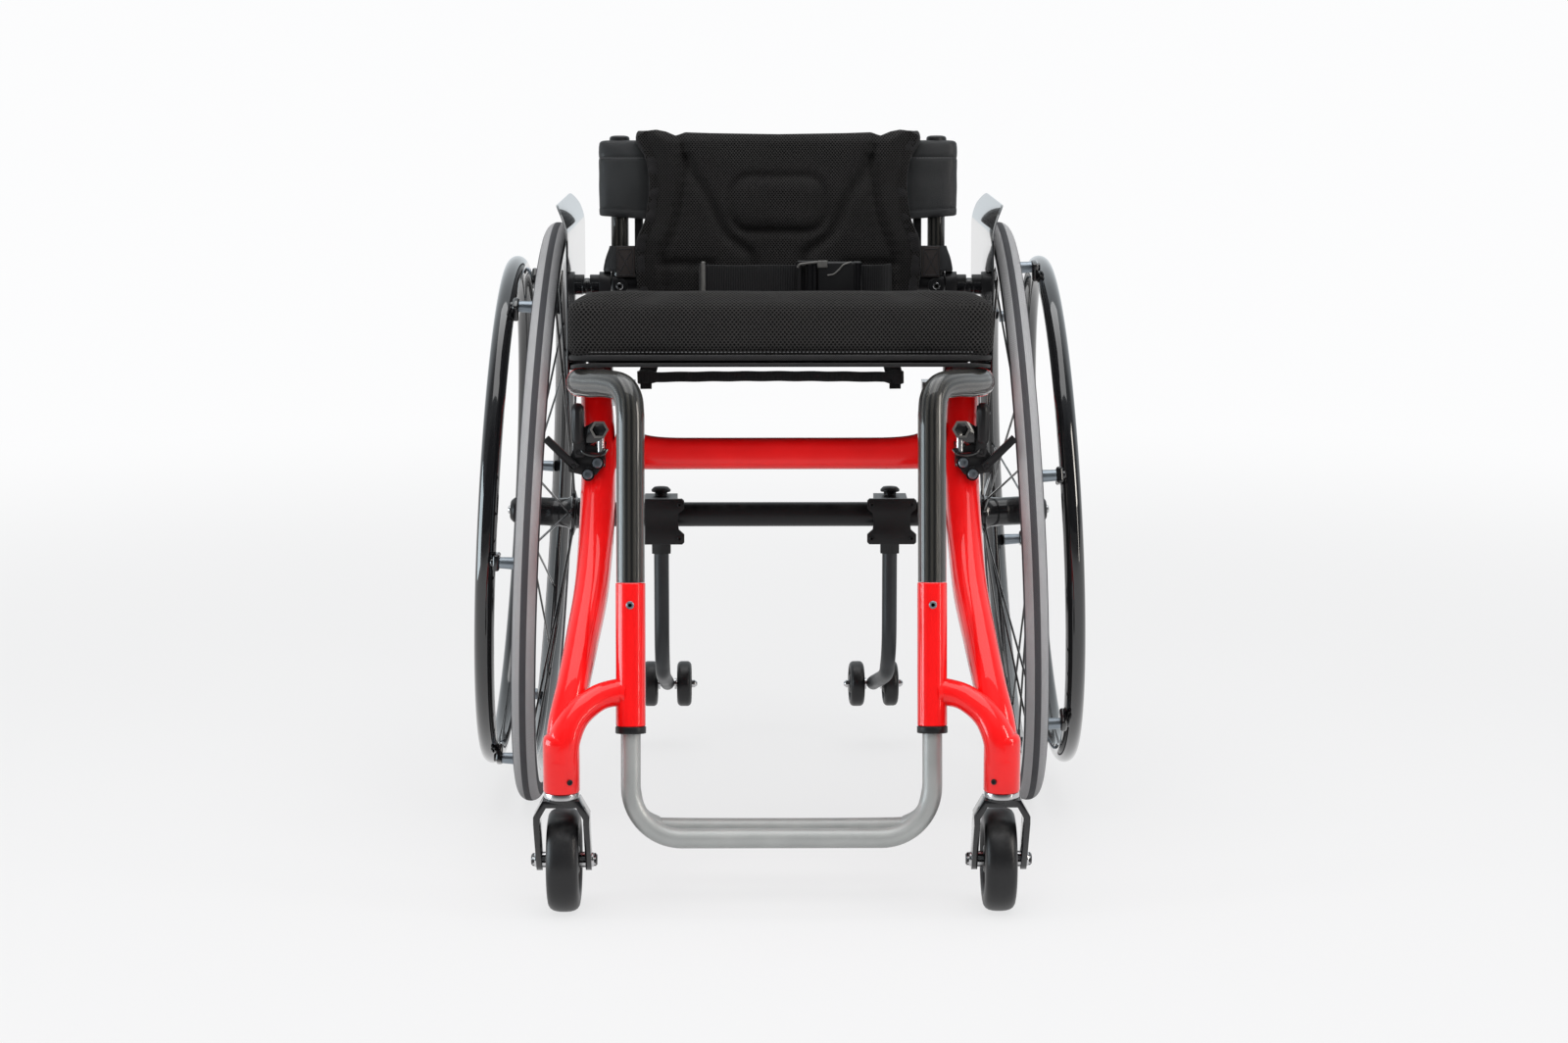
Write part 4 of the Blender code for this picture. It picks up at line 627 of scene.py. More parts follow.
def ring_frames(points, across, closed):
    """A matrix at each point: Z along the path, X near the across direction."""
    frames = []
    wide = Vector(across) if across is not None else Vector((1.0, 0.0, 0.0))
    for i, point in enumerate(points):
        behind = points[i - 1] if (i or closed) else point
        ahead = points[(i + 1) % len(points)] if (closed or i + 1 < len(points)) else point
        tangent = (ahead - behind).normalized()
        if across is None and i:
            wide = frames[-1].to_3x3() @ Vector((1, 0, 0))
        elif across is None and abs(tangent.x) > 0.9:
            wide = Vector((0.0, 0.0, 1.0))
        wide = (wide - tangent * wide.dot(tangent)).normalized()
        turned = Matrix((wide, tangent.cross(wide), tangent)).transposed().to_4x4()
        frames.append(Matrix.Translation(point) @ turned)
        if across is not None:
            wide = Vector(across)
    return frames


def sweep_part(bm, stations, sides=24, power=2.0, across=None, closed=False):
    """Joins sections along a path. A station is (point, half width, half depth)."""
    layer = {label: bm.verts.layers.float[label] for label in LAYERS}
    points = [Vector(station[0]) for station in stations]
    frames = [frame @ Matrix.Diagonal((wide, deep, 1.0, 1.0))
        for frame, (_, wide, deep) in zip(ring_frames(points, across, closed), stations)]
    steps = [(b - a).length for a, b in zip(points, points[1:])]
    whole = sum(steps) + ((points[0] - points[-1]).length if closed else 0.0)
    reach = math.tau * max(max(s[1], s[2]) for s in stations)
    first, start_ring = circle_part(bm, sides, 1.0)
    for vert in first:
        angle = math.atan2(vert.co.y, vert.co.x)
        c, s = math.cos(angle), math.sin(angle)
        vert.co = (math.copysign(abs(c) ** (2 / power), c), math.copysign(abs(s) ** (2 / power), s), 0.0)
        vert[layer["round"]] = angle / math.tau % 1.0 * reach
        vert[layer["along"]], vert[layer["reach"]] = 0.0, reach
        vert[layer["total"]] = whole if closed else NO_SEAM
    bmesh.ops.transform(bm, matrix=frames[0], verts=first)
    ring, travelled = start_ring, 0.0
    for i, step in enumerate(steps, 1):
        travelled += step
        new, ring = grow_ring(bm, ring)
        bmesh.ops.transform(bm, matrix=frames[i] @ frames[i - 1].inverted(), verts=new)
        for vert in new:
            vert[layer["along"]] = travelled
    if closed:
        bmesh.ops.bridge_loops(bm, edges=start_ring + ring)
    else:
        for loop in (start_ring, ring):
            bmesh.ops.edgeloop_fill(bm, edges=loop)


def tube_part(bm, points, radius, sides=32):
    sweep_part(bm, [(point, radius, radius) for point in points], sides)


def write_uv(bm):
    """Fills the UV map in metres from the sweep layers, mending the seams."""
    layer = {label: bm.verts.layers.float[label] for label in LAYERS}
    uv = bm.loops.layers.uv["metres"]
    for face in bm.faces:
        rounds = [loop.vert[layer["round"]] for loop in face.loops]
        alongs = [loop.vert[layer["along"]] for loop in face.loops]
        reach, total = face.verts[0][layer["reach"]], face.verts[0][layer["total"]]
        for loop, u, v in zip(face.loops, rounds, alongs):
            if reach and max(rounds) - u > reach / 2:
                u += reach
            if total and max(alongs) - v > total / 2:
                v += total
            loop[uv].uv = (u, v)


def flat_uv(bm, pick):
    """Fills the UV map in metres straight from each point's place."""
    uv = bm.loops.layers.uv["metres"]
    for face in bm.faces:
        for loop in face.loops:
            loop[uv].uv = pick(loop.vert.co)


def box_part(bm, size, place, bevel, segments):
    """A box with rounded edges."""
    made = bmesh.ops.create_cube(bm, size=1.0)["verts"]
    bmesh.ops.scale(bm, vec=size, verts=made)
    made = soften(bm, edges_of(made), bevel, segments)
    bmesh.ops.transform(bm, matrix=place, verts=made)


def screw_part(bm, place, radius, height, sides=20):
    """A socket head screw: a rounded head with a six-sided recess."""
    made, edges = circle_part(bm, sides, radius)
    for lift, scale in ((height * 0.80, 1.0), (height * 0.20, 0.88)):
        new, edges = grow_ring(bm, edges)
        bmesh.ops.translate(bm, vec=(0, 0, lift), verts=new)
        bmesh.ops.scale(bm, vec=(scale, scale, 1.0), verts=new)
        made += new
    socket, rim = circle_part(bm, 6, radius * 0.52)
    bmesh.ops.translate(bm, vec=(0, 0, height), verts=socket)
    bmesh.ops.bridge_loops(bm, edges=edges + rim)
    new, rim = grow_ring(bm, rim)
    bmesh.ops.translate(bm, vec=(0, 0, -height * 0.55), verts=new)
    bmesh.ops.edgeloop_fill(bm, edges=rim)
    bmesh.ops.transform(bm, matrix=place, verts=made + socket + new)


def make_piece(bm, name, finish, sharp, stands_for="", body="frame", slot="", turn_out=True, own_uv=False,
        place=Matrix.Identity(4)):
    """A finished bmesh becomes an object at the origin, riding on a CAD body.

    Blender numbers a finish whose name the model's own materials hold already; the
    name is cut at that number, but nothing uses it. The slot argument is not used."""
    bmesh.ops.transform(bm, matrix=place, verts=bm.verts)
    if turn_out:
        bmesh.ops.recalc_face_normals(bm, faces=bm.faces)
    if bm.verts.layers.float.get("round"):
        if not own_uv:
            write_uv(bm)
        for label in LAYERS:
            bm.verts.layers.float.remove(bm.verts.layers.float[label])
    mesh = bpy.data.meshes.new(name)
    bm.to_mesh(mesh)
    bm.free()
    mesh.shade_smooth()
    mesh.set_sharp_from_angle(angle=math.radians(sharp))
    mesh.materials.append(finish)
    piece = bpy.data.objects.new(name, mesh)
    scene.collection.objects.link(piece)
    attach(piece, body)
    label = finish.name.split(".")[0]
    if stands_for:
        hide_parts(stands_for)
    return piece


def turned_piece(name, finish, sharp, profile, steps, place, stands_for="", closed=False, **more):
    """A piece that is one spun profile."""
    bm = start_mesh()
    spin_part(bm, profile, steps, place, closed)
    return make_piece(bm, name, finish, sharp, stands_for, **more)


def body_of(node):
    return frame["nodes"][node]["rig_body"]


def sharp_edges(bm, least):
    """Edges whose faces turn by more than an angle in degrees."""
    return [edge for edge in bm.edges if edge.is_manifold and edge.calc_face_angle() > math.radians(least)]


def refine_node(node, finish, bevel, cut_above=None):
    """A merged copy of a CAD solid with its corners softened, standing for the solid."""
    bm = start_mesh()
    bm.from_mesh(frame["nodes"][node].data)
    bmesh.ops.remove_doubles(bm, verts=bm.verts, dist=0.00002)
    bmesh.ops.dissolve_limit(bm, angle_limit=math.radians(0.8), verts=bm.verts, edges=bm.edges)
    if cut_above is not None:
        cut = cut_mesh(bm, (0, 0, cut_above), (0, 0, 1), True)
        bmesh.ops.holes_fill(bm, edges=[g for g in cut if isinstance(g, bmesh.types.BMEdge)])
    soften(bm, sharp_edges(bm, 38.0), bevel)
    make_piece(bm, node + "_finished", finish, 35.0, node, body=body_of(node), turn_out=False)

# %% [markdown]
# The rear wheels stand outside the frame at three degrees of camber. Each is made in
# its own space, with Z along the axle outwards and X up in the wheel's plane, and one
# matrix puts it on the chair. The same matrix serves the pin, the spokes and the rim.

# %% Places that the wheels share
TYRE_R = 0.2975
CAMBER = math.radians(3.0)
HUB_X = 0.2395
HUB_Z = TYRE_R * math.cos(CAMBER)
RIM_OUTER_R = 0.2750
PUSHRIM_R, PUSHRIM_TUBE_R, PUSHRIM_OUT = 0.2513, 0.0097, 0.0406
HUB_INNER, HUB_OUTER = -0.0347, 0.0285
WHEEL_PHASE = {"left": math.radians(14.0), "right": math.radians(28.0)}
WHEEL_STEPS = 160


def wheel_place(side):
    axle = Vector((side * math.cos(CAMBER), 0.0, math.sin(CAMBER)))
    up = Vector((-side * math.sin(CAMBER), 0.0, math.cos(CAMBER)))
    return place_at((side * HUB_X, HUB_Y, HUB_Z), axle, up)


def arc_points(centre, radius, start, end, count):
    """Points on a circle in a plane, angles in degrees."""
    angles = [math.radians(start + (end - start) * i / (count - 1)) for i in range(count)]
    return [(centre[0] + radius * math.cos(a), centre[1] + radius * math.sin(a)) for a in angles]


# %% [markdown]
# The tyre is round in section and its bead sits between the rim's flanges. It is a
# turned ring, whose UV map in metres is written from each point's two angles: round the
# section and round the wheel.

# %% Tyres
TYRE_TUBE_R = 0.0118


def write_turned_uv(bm, place, centre_r):
    """The UV map in metres of a ring: round its section, then round the wheel."""
    uv = bm.loops.layers.uv["metres"]
    to_wheel = place.inverted()
    for face in bm.faces:
        middle = to_wheel @ face.calc_center_median()
        base = math.atan2(middle.y, middle.x)
        for loop in face.loops:
            local = to_wheel @ loop.vert.co
            turn = base + (math.atan2(local.y, local.x) - base + math.pi) % math.tau - math.pi
            section = math.atan2(local.z, local.xy.length - centre_r)
            loop[uv].uv = (section * TYRE_TUBE_R, turn * TYRE_R)


def finish_faces(piece, finish, chosen):
    """Puts a second finish on the faces for which chosen(face centre) is true."""
    piece.data.materials.append(finish)
    slot = len(piece.data.materials) - 1
    for face in piece.data.polygons:
        if chosen(face.center):
            face.material_index = slot


for label, side in SIDES:
    bm = start_mesh()
    crown = arc_points((TYRE_R - TYRE_TUBE_R, 0.0), TYRE_TUBE_R, -120.0, 120.0, 27)
    bead = mm((277.2, 9), (275.4, 8.6))
    spin_part(bm, [(r, -h) for r, h in reversed(bead)] + crown + bead, WHEEL_STEPS, wheel_place(side), True)
    write_turned_uv(bm, wheel_place(side), TYRE_R - TYRE_TUBE_R)
    tyre = make_piece(bm, "rear_tyre_" + label, TYRE, 60.0, "tyre_" + label, body="rear_wheel_" + label,
        own_uv=True)
    print(tyre.name, len(tyre.data.polygons), "faces")

# %% [markdown]
# The rim is a deep black section: two flanges hold the tyre and the walls run in to a
# narrow nose, where a nipple takes each spoke. The spokes leave the hub's two flanges
# at a slant, so that they cross, which lets the wheel carry turning loads.

# %% Rims
NIPPLE_R, FLANGE_R, NOSE_R = 0.0021, 0.0165, 0.2560
SPOKES_PER_SIDE, SPOKE_SLANT = 10, 26.0
VALVE_TURN, VALVE_NECK = 0.3, 0.2160


def spoke_ends():
    """Hub end and rim end of each spoke, in the wheel's space."""
    found = []
    for height, shift, lands in ((HUB_OUTER - 0.0048, 0.0, 0.0015), (HUB_INNER + 0.0060, 0.25, -0.0015)):
        for i in range(SPOKES_PER_SIDE):
            leave = math.tau * (i + shift) / SPOKES_PER_SIDE
            meet = leave + math.radians(SPOKE_SLANT if i % 2 else -SPOKE_SLANT)
            found.append((Vector((FLANGE_R * math.cos(leave), FLANGE_R * math.sin(leave), height)),
                Vector((NOSE_R * math.cos(meet), NOSE_R * math.sin(meet), lands))))
    return found


def rod_part(bm, start, end, radius, sides=10, top_radius=None, place=Matrix.Identity(4)):
    """A capped rod or cone between two points."""
    start, end = Vector(start), Vector(end)
    length = (end - start).length
    at = place @ place_at((start + end) / 2, end - start)
    bmesh.ops.create_cone(bm, cap_ends=True, segments=sides, radius1=radius, depth=length,
        radius2=radius if top_radius is None else top_radius, matrix=at)


for label, side in SIDES:
    bm = start_mesh()
    wall = mm((274.8, 0), (274.8, 8.2), (278.5, 8.6), (278.9, 9.3), (278.5, 10.1), (270, 10.2), (267.2, 10),
        (264, 9.2)) + arc_points((0.2556, 0.0), 0.0031, 78.0, 180.0, 7)
    ring = [(r, -h) for r, h in wall[1:-1]] + [wall[-1]] + [(r, h) for r, h in reversed(wall[:-1])]
    place = wheel_place(side)
    spin_part(bm, ring, WHEEL_STEPS, place, True)
    for hub_end, rim_end in spoke_ends():
        back = (hub_end - rim_end).normalized()
        rod_part(bm, rim_end, rim_end + back * 0.0110, NIPPLE_R, 8, NIPPLE_R * 0.72, place)
    valve = Vector((math.cos(VALVE_TURN), math.sin(VALVE_TURN), 0.0))
    rod_part(bm, valve * NOSE_R, valve * VALVE_NECK, 0.0030, 12, None, place)
    rod_part(bm, valve * VALVE_NECK, valve * 0.2080, 0.0036, 12, 0.0022, place)
    rim = make_piece(bm, "rear_rim_" + label, GLOSS, 32.0, "rim_" + label, body="rear_wheel_" + label)
    print(rim.name, len(rim.data.polygons), "faces")

# %% [markdown]
# The hub is one turned barrel with a flange at each end, from which the spokes leave.
# Turned edges are never sharp, so each corner of the profile is a short chamfer, which
# is what catches the light.

# %% Hubs and spokes
SPOKE_R = 0.00115
OUTER_END = mm((6.8, -0.4), (7.2, 0), (14.6, 0), (15.2, -0.6), (15.6, -1.8), (19.6, -3), (20, -3.4),
    (20, -6.4), (19.6, -6.8), (17.6, -7.8), (15.8, -11), (14.8, -18))
INNER_END = mm((14.6, 24), (15.2, 13), (17.2, 9), (19.4, 8), (19.8, 7.6), (19.8, 4.4), (19.4, 4), (16.6, 3),
    (16, 2.2), (16, 0.6), (15.4, 0), (7.2, 0), (6.8, 0.4))
BARREL = [(r, HUB_OUTER + h) for r, h in OUTER_END] + [(r, HUB_INNER + h) for r, h in INNER_END]
for label, side in SIDES:
    place = wheel_place(side)
    bm = start_mesh()
    spin_part(bm, BARREL, 64, place, True)
    for hub_end, rim_end in spoke_ends():
        outwards = (rim_end - hub_end).normalized()
        rod_part(bm, hub_end, rim_end - outwards * 0.0090, SPOKE_R, 8, None, place)
        rod_part(bm, hub_end + outwards * 0.0018, hub_end + outwards * 0.0070, 0.0022, 10, 0.0016, place)
    hub = make_piece(bm, "rear_hub_" + label, GLOSS, 32.0, "hub_" + label, body="rear_wheel_" + label,
        slot="gloss_black")
    print(hub.name, len(hub.data.polygons), "faces")

# %% [markdown]
# The hand rim is a black tube that the rider pushes, standing clear of the tyre on six
# tabs, each screwed to a spacer of satin metal on the rim. The spacers' faces take a
# second material, chosen by how far out from the wheel's middle plane a face lies.

# %% Hand rims
SPACER_R, TABS = RIM_OUTER_R - 0.0115, 6
for label, side in SIDES:
    place = wheel_place(side)
    bm = start_mesh()
    tube = arc_points((PUSHRIM_R, PUSHRIM_OUT), PUSHRIM_TUBE_R, 0.0, 360.0, 25)[:-1]
    spin_part(bm, tube, WHEEL_STEPS, place, True)
    for i in range(TABS):
        angle = WHEEL_PHASE[label] + math.tau * i / TABS
        out = Vector((math.cos(angle), math.sin(angle), 0.0))
        foot = out * SPACER_R + Vector((0.0, 0.0, 0.0103))
        rod_part(bm, foot, foot + Vector((0, 0, 0.0160)), 0.0060, 20, 0.0054, place)
        tab = place_at(out * (SPACER_R - 0.0040) + Vector((0, 0, 0.0296)), (0, 0, 1), out)
        box_part(bm, (0.0190, 0.0160, 0.0066), place @ tab, 0.0024, 3)
        face = place @ place_at(out * SPACER_R + Vector((0, 0, 0.0326)), (0, 0, 1), out)
        screw_part(bm, face, 0.0040, 0.0024)
    push = make_piece(bm, "hand_rim_" + label, MIRROR_BLACK, 40.0, "pushrim_" + label,
        body="rear_wheel_" + label)
    to_wheel = place.inverted()

    def on_spacer(centre):
        local = to_wheel @ centre
        from_tube = math.hypot(local.xy.length - PUSHRIM_R, local.z - PUSHRIM_OUT)
        return local.z < 0.0260 and from_tube > PUSHRIM_TUBE_R + 0.0008

    finish_faces(push, BLUE_STEEL, on_spacer)
    print(push.name, len(push.data.polygons), "faces")

# %% [markdown]
# A quick-release pin holds each wheel. It stays with the frame, and the button in its
# end frees two locking balls.

# %% Axle pins and release buttons
for label, side in SIDES:
    place = wheel_place(side)
    pin = mm((0, 24), (4.6, 24), (4.6, 36.8), (5.1, 37.3), (8.4, 37), (10, 36.2), (12.2, 33.8),
        (12.8, 32.8), (12.8, 30.6), (12.4, 29.2), (12, 28.8), (6.3, 28.8), (6.3, -74), (5, -75.6), (0, -76))
    turned_piece("wheel_pin_" + label, BLACK, 30.0, pin, 48, place, "axle_pin_" + label)
    button = mm((0, 39.8), (2.4, 39.7), (3.8, 39.1), (4.3, 38.3), (4.3, 27.7), (4, 27.5), (0, 27.5))
    node = "release_button_" + label
    turned_piece("pin_button_" + label, STEEL, 30.0, button, 40, place, node, body=body_of(node))

# %% [markdown]
# Each caster fork is a bent bridge with two legs that reach back to the axle, which
# gives the trail that makes it follow. The bridge is the CAD solid with its corners
# softened, because its outline is already right. The nuts are separate bright pieces.

# %% Casters
STEM_X, CASTER_AXLE_Y, CASTER_TRAIL = 0.1967, HUB_Y - 0.4400, 0.0280
STEM_Y = CASTER_AXLE_Y - CASTER_TRAIL
CASTER_R, CASTER_SPOKES = 0.0470, 5
for label, side in SIDES:
    refine_node("caster_fork_" + label, GLOSS, 0.0009)
    axle = place_at((side * STEM_X, CASTER_AXLE_Y, CASTER_R), (1, 0, 0), (0, 0, 1))
    fork_body = body_of("caster_fork_" + label)
    wheel_body = body_of("caster_tyre_" + label)

    half = mm((47, 0), (46.95, 3), (46.6, 6.2), (45.7, 9.6), (44, 12.2), (41.6, 13.8), (38, 14.5),
        (34.5, 14.6), (32.5, 14.2), (30.6, 12.8), (29.1, 11))
    turned_piece("caster_tread_" + label, URETHANE, 60.0, mirrored(half), 96, axle, "caster_tyre_" + label,
        True, body=wheel_body)

    bm = start_mesh()
    face = mm((28.9, 0), (28.9, 10.6), (28.5, 11.2), (26.6, 11.4), (25.8, 10.8), (24.6, 6.4), (23.8, 5.8),
        (13.6, 5.8), (12.8, 6.4), (12.2, 12.8), (11.6, 13.4), (9.6, 13.4), (9.2, 13), (6.2, 13),
        (5.8, 13.4), (4.6, 13.4))
    spin_part(bm, mirrored(face), 64, axle, True)
    for i in range(CASTER_SPOKES):
        turn = math.tau * i / CASTER_SPOKES
        for out in (1.0, -1.0):
            spoke = axle @ place_at((0.0190 * math.cos(turn), 0.0190 * math.sin(turn), out * 0.0066),
                (0, 0, out), (math.cos(turn), math.sin(turn), 0.0))
            box_part(bm, (0.0120, 0.0060, 0.0044), spoke, 0.0014, 2)
    make_piece(bm, "caster_core_" + label, PLASTIC, 30.0, "caster_hub_" + label, body=wheel_body)

    bm = start_mesh()
    for out in (1.0, -1.0):
        end = place_at(axle @ Vector((0, 0, out * 0.0251)), (out, 0, 0), (0, 0, 1))
        spin_part(bm, mm((0, 4.6), (4, 4.6), (4.7, 4.2), (5.2, 3), (6.4, 1.4), (6.7, 0.6), (6.6, -0.4),
            (0, -0.4)), 32, end)
        rod_part(bm, (0, 0, 0.0014), (0, 0, 0.0034), 0.0062, 6, None, end)
        rod_part(bm, axle @ Vector((0, 0, out * 0.0138)), axle @ Vector((0, 0, out * 0.0196)), 0.0072, 24)
    make_piece(bm, "caster_nuts_" + label, STEEL, 30.0, body=fork_body)

# %% [markdown]
# The headset rings are bright: one under each caster housing, where the stem's bearing
# sits.

# %% Headset rings
for label, side in SIDES:
    at = place_at((side * STEM_X, STEM_Y, 0.0), (0, 0, 1), (1, 0, 0))
    ring = mm((14.8, 117.6), (15.6, 117.2), (15.8, 116.6), (15.8, 112.8), (15.4, 112.2), (14.8, 112))
    turned_piece("headset_ring_" + label, STEEL, 30.0, ring, 56, at, closed=True,
        body=body_of("caster_fork_" + label))

# %% [markdown]
# A side frame starts at the caster's housing, sweeps back as a broad oval tube and ends
# under the seat rail. It is one welded and lacquered piece: a swept oval, the round
# rail, the housing, a short arm and the sleeve that holds the footrest's leg. The arm
# widens where it meets the others, as the weld under the lacquer does.

# %% Side frames
RAIL_X, RAIL_R = 0.1857, 0.0135
RAIL_FRONT_Y, RAIL_REAR_Y, RAIL_FRONT_Z = HUB_Y - 0.3000, HUB_Y + 0.1000, 0.4655
SEAT_ANGLE = math.radians(6.0)
HANGER_X, HANGER_RAKE = 0.1356, math.radians(9.0)
HANGER_TOP_Y, HANGER_TOP_Z = HUB_Y - 0.3980, 0.4500
SLEEVE_R, SLEEVE_TOP, SLEEVE_BOTTOM = 0.0134, 0.2985, 0.1712
HOUSING_R, HOUSING_BOTTOM = 0.0165, 0.1178


def seat_line(y, above=0.0):
    """Height of a line that runs with the seat rails' axis."""
    return RAIL_FRONT_Z - (y - RAIL_FRONT_Y) * math.tan(SEAT_ANGLE) + above


def hanger_point(z, side=1.0, x=HANGER_X):
    """A point on a front tube's axis, which leans forward towards the foot."""
    return Vector((side * x, HANGER_TOP_Y - (HANGER_TOP_Z - z) * math.tan(HANGER_RAKE), z))


SWOOSH = mm((196.7, -468, 144, 15, 15), (194.5, -453, 174, 15, 16.5), (188, -428, 205, 14.5, 19),
    (181, -390, 242, 15, 20.5), (174.5, -345, 282, 15.8, 21.5), (172.2, -285, 337, 16.5, 21.5),
    (172.8, -235, 390, 16, 20), (176.2, -200, 435, 15, 17.5), (182, -182, 454, 11, 11))
ARM = mm((138, -438.5, 201, 13.2, 13.2), (148, -437.5, 201, 12.4, 12.4), (165, -445.5, 197.5, 12, 12),
    (183, -459, 185, 12.8, 12.8), (193.5, -469, 166, 14.6, 14.6), (196.5, -469, 146, 15.8, 15.8))


def chair_stations(anchors, side, count):
    """Sweep stations from anchors of (x, y from the hub line, z, half width, half depth)."""
    return [(Vector((side * x, HUB_Y + y, z)), w, d) for x, y, z, w, d in smooth_path(anchors, count)]


for label, side in SIDES:
    bm = start_mesh()
    sweep_part(bm, chair_stations(SWOOSH, side, 72), 56, 2.4, (1, 0, 0))
    rail_front = Vector((side * RAIL_X, RAIL_FRONT_Y, RAIL_FRONT_Z))
    rail_rear = Vector((side * RAIL_X, RAIL_REAR_Y, seat_line(RAIL_REAR_Y)))
    run = (rail_rear - rail_front).normalized()
    rail = [(rail_front, RAIL_R - 0.0006), (rail_front + run * 0.0006, RAIL_R),
        (rail_rear - run * 0.0006, RAIL_R), (rail_rear, RAIL_R - 0.0006)]
    sweep_part(bm, [(point, r, r) for point, r in rail], 40)
    sweep_part(bm, chair_stations(ARM, side, 30), 40)
    at = place_at((side * STEM_X, STEM_Y, 0.0), (0, 0, 1), (1, 0, 0))
    spin_part(bm, [(0.0, 0.1712), (0.0096, 0.1710), (0.0124, 0.1702), (0.0150, 0.1680), (0.0162, 0.1652),
        (HOUSING_R, 0.1620), (HOUSING_R, HOUSING_BOTTOM + 0.0012), (0.0160, HOUSING_BOTTOM + 0.0003),
        (0.0154, HOUSING_BOTTOM), (0.0062, HOUSING_BOTTOM), (0.0062, 0.1400), (0.0, 0.1400)], 56, at)
    foot, head = hanger_point(SLEEVE_BOTTOM, side), hanger_point(SLEEVE_TOP, side)
    up = (head - foot).normalized()
    sleeve = place_at(foot, up, (1, 0, 0))
    length = (head - foot).length
    spin_part(bm, [(0.0096, 0.0), (SLEEVE_R - 0.0006, 0.0), (SLEEVE_R, 0.0006), (SLEEVE_R, length - 0.0008),
        (SLEEVE_R - 0.0008, length), (0.0096, length)], 48, sleeve, True)
    make_piece(bm, "side_tube_" + label, RED, 32.0, "side_frame_" + label)

# %% [markdown]
# The front tubes are carbon: straight up from the sleeves, round the knee and into the
# seat rails. One sweep carries the cloth's two directions as its UV map, so that the
# twill follows the bend.

# %% Carbon front tubes
CARBON_R = 0.0128
KNEE = mm((137.4, -392, 461), (144, -381, 470), (157.5, -362, 471.2), (172, -340, 469), (182.2, -322, 468))
for label, side in SIDES:
    top = hanger_point(0.4470, side)
    knee = smooth_path([tuple(top)] + [(side * x, HUB_Y + y, z) for x, y, z in KNEE], 40)
    rail_front = Vector((side * RAIL_X, RAIL_FRONT_Y, RAIL_FRONT_Z))
    run = Vector((0, math.cos(SEAT_ANGLE), -math.sin(SEAT_ANGLE)))
    start = hanger_point(SLEEVE_TOP + 0.0003, side)
    route = [start + (top - start) * i / 12 for i in range(12)] + [Vector(p) for p in knee]
    route += [rail_front - run * 0.0100, rail_front - run * 0.0006]
    bm = start_mesh()
    tube_part(bm, route, CARBON_R, 40)
    make_piece(bm, "front_tube_" + label, CARBON, 40.0, "carbon_tube_" + label)

# %% [markdown]
# A flat oval tube joins the two side frames, and flares where it is welded to them.

# %% Cross brace
BRACE_Y = HUB_Y - 0.2220
half = mm((0, 388, 15), (70, 388, 15), (108, 388.2, 15.2), (130, 389.5, 16.5), (146, 392.5, 19.5),
    (160, 396.8, 24.3))
across = [(-x, z, h) for x, z, h in reversed(half[1:])] + list(half)
stations = smooth_path([(x, BRACE_Y, z, 0.0140 + max(0.0, h - 0.0150) * 0.35, h) for x, z, h in across], 64)
bm = start_mesh()
sweep_part(bm, [(Vector(s[:3]), s[3], s[4]) for s in stations], 48, 2.7, (0, 1, 0))
make_piece(bm, "cross_tube", RED, 32.0, "cross_brace")

# %% [markdown]
# The axle tube is straight, and a plug in each end sets the wheels' camber. Two polished
# uprights join it to the seat rails. The footrest's clamp collars sit under the sleeves.

# %% Axle tube, uprights and collars
AXLE_TUBE_R, AXLE_TUBE_Z, AXLE_TUBE_HALF = 0.0125, 0.2940, 0.1960
bm = start_mesh()
along = place_at((0, HUB_Y, AXLE_TUBE_Z), (1, 0, 0), (0, 0, 1))
spin_part(bm, [(0.0, -AXLE_TUBE_HALF), (AXLE_TUBE_R, -AXLE_TUBE_HALF), (AXLE_TUBE_R, AXLE_TUBE_HALF),
    (0.0, AXLE_TUBE_HALF)], 56, along)
plug = [(r, HUB_INNER - h) for r, h in mm((6.6, 0.3), (14.6, 0.3), (15.2, 0.8), (16.6, 3.6), (16.6, 5),
    (14.2, 20), (13, 21), (11, 40), (6.6, 40))]
for label, side in SIDES:
    spin_part(bm, plug, 56, wheel_place(side), True)
make_piece(bm, "axle_bar", BLACK, 30.0, "axle_tube")
for label, side in SIDES:
    refine_node("axle_bracket_" + label, STEEL, 0.0010)
    refine_node("leg_collar_" + label, BLACK, 0.0006)

# %% [markdown]
# The footrest is one size of tube bent into a front loop and a lower rear loop, which
# is coped and welded into the legs. Its satin coat is warm grey.

# %% Footrest
FOOT_TUBE_R, FOOT_BAR_Z, FOOT_LEG_TOP, FOOT_CORNER_R = 0.0089, 0.0712, 0.2690, 0.0460
bend_x, bend_z = HANGER_X - FOOT_CORNER_R, FOOT_BAR_Z + FOOT_CORNER_R
leg = [hanger_point(FOOT_LEG_TOP + (bend_z - FOOT_LEG_TOP) * i / 10) for i in range(11)]
leg += [hanger_point(z, 1.0, x) for x, z in arc_points((bend_x, bend_z), FOOT_CORNER_R, 0.0, -90.0, 21)[1:]]
front_loop = leg + [Vector((-p.x, p.y, p.z)) for p in reversed(leg)]
REAR_LOOP = [(HANGER_X, -0.4485, 0.1330), (HANGER_X, -0.4300, 0.1080)]
REAR_LOOP += mm((131, -410, 83), (117, -397, 69), (93, -392, 64.5))
half = [(x, HUB_Y + y, z) for x, y, z in REAR_LOOP]
rear_loop = smooth_path(half + [(-x, y, z) for x, y, z in reversed(half)], 96)
bm = start_mesh()
tube_part(bm, front_loop, FOOT_TUBE_R)
tube_part(bm, rear_loop, FOOT_TUBE_R - 0.0003)
make_piece(bm, "footrest_loops", SATIN_GREY, 40.0, "footrest_frame", body=body_of("footrest_frame"))
print("frame pieces done")

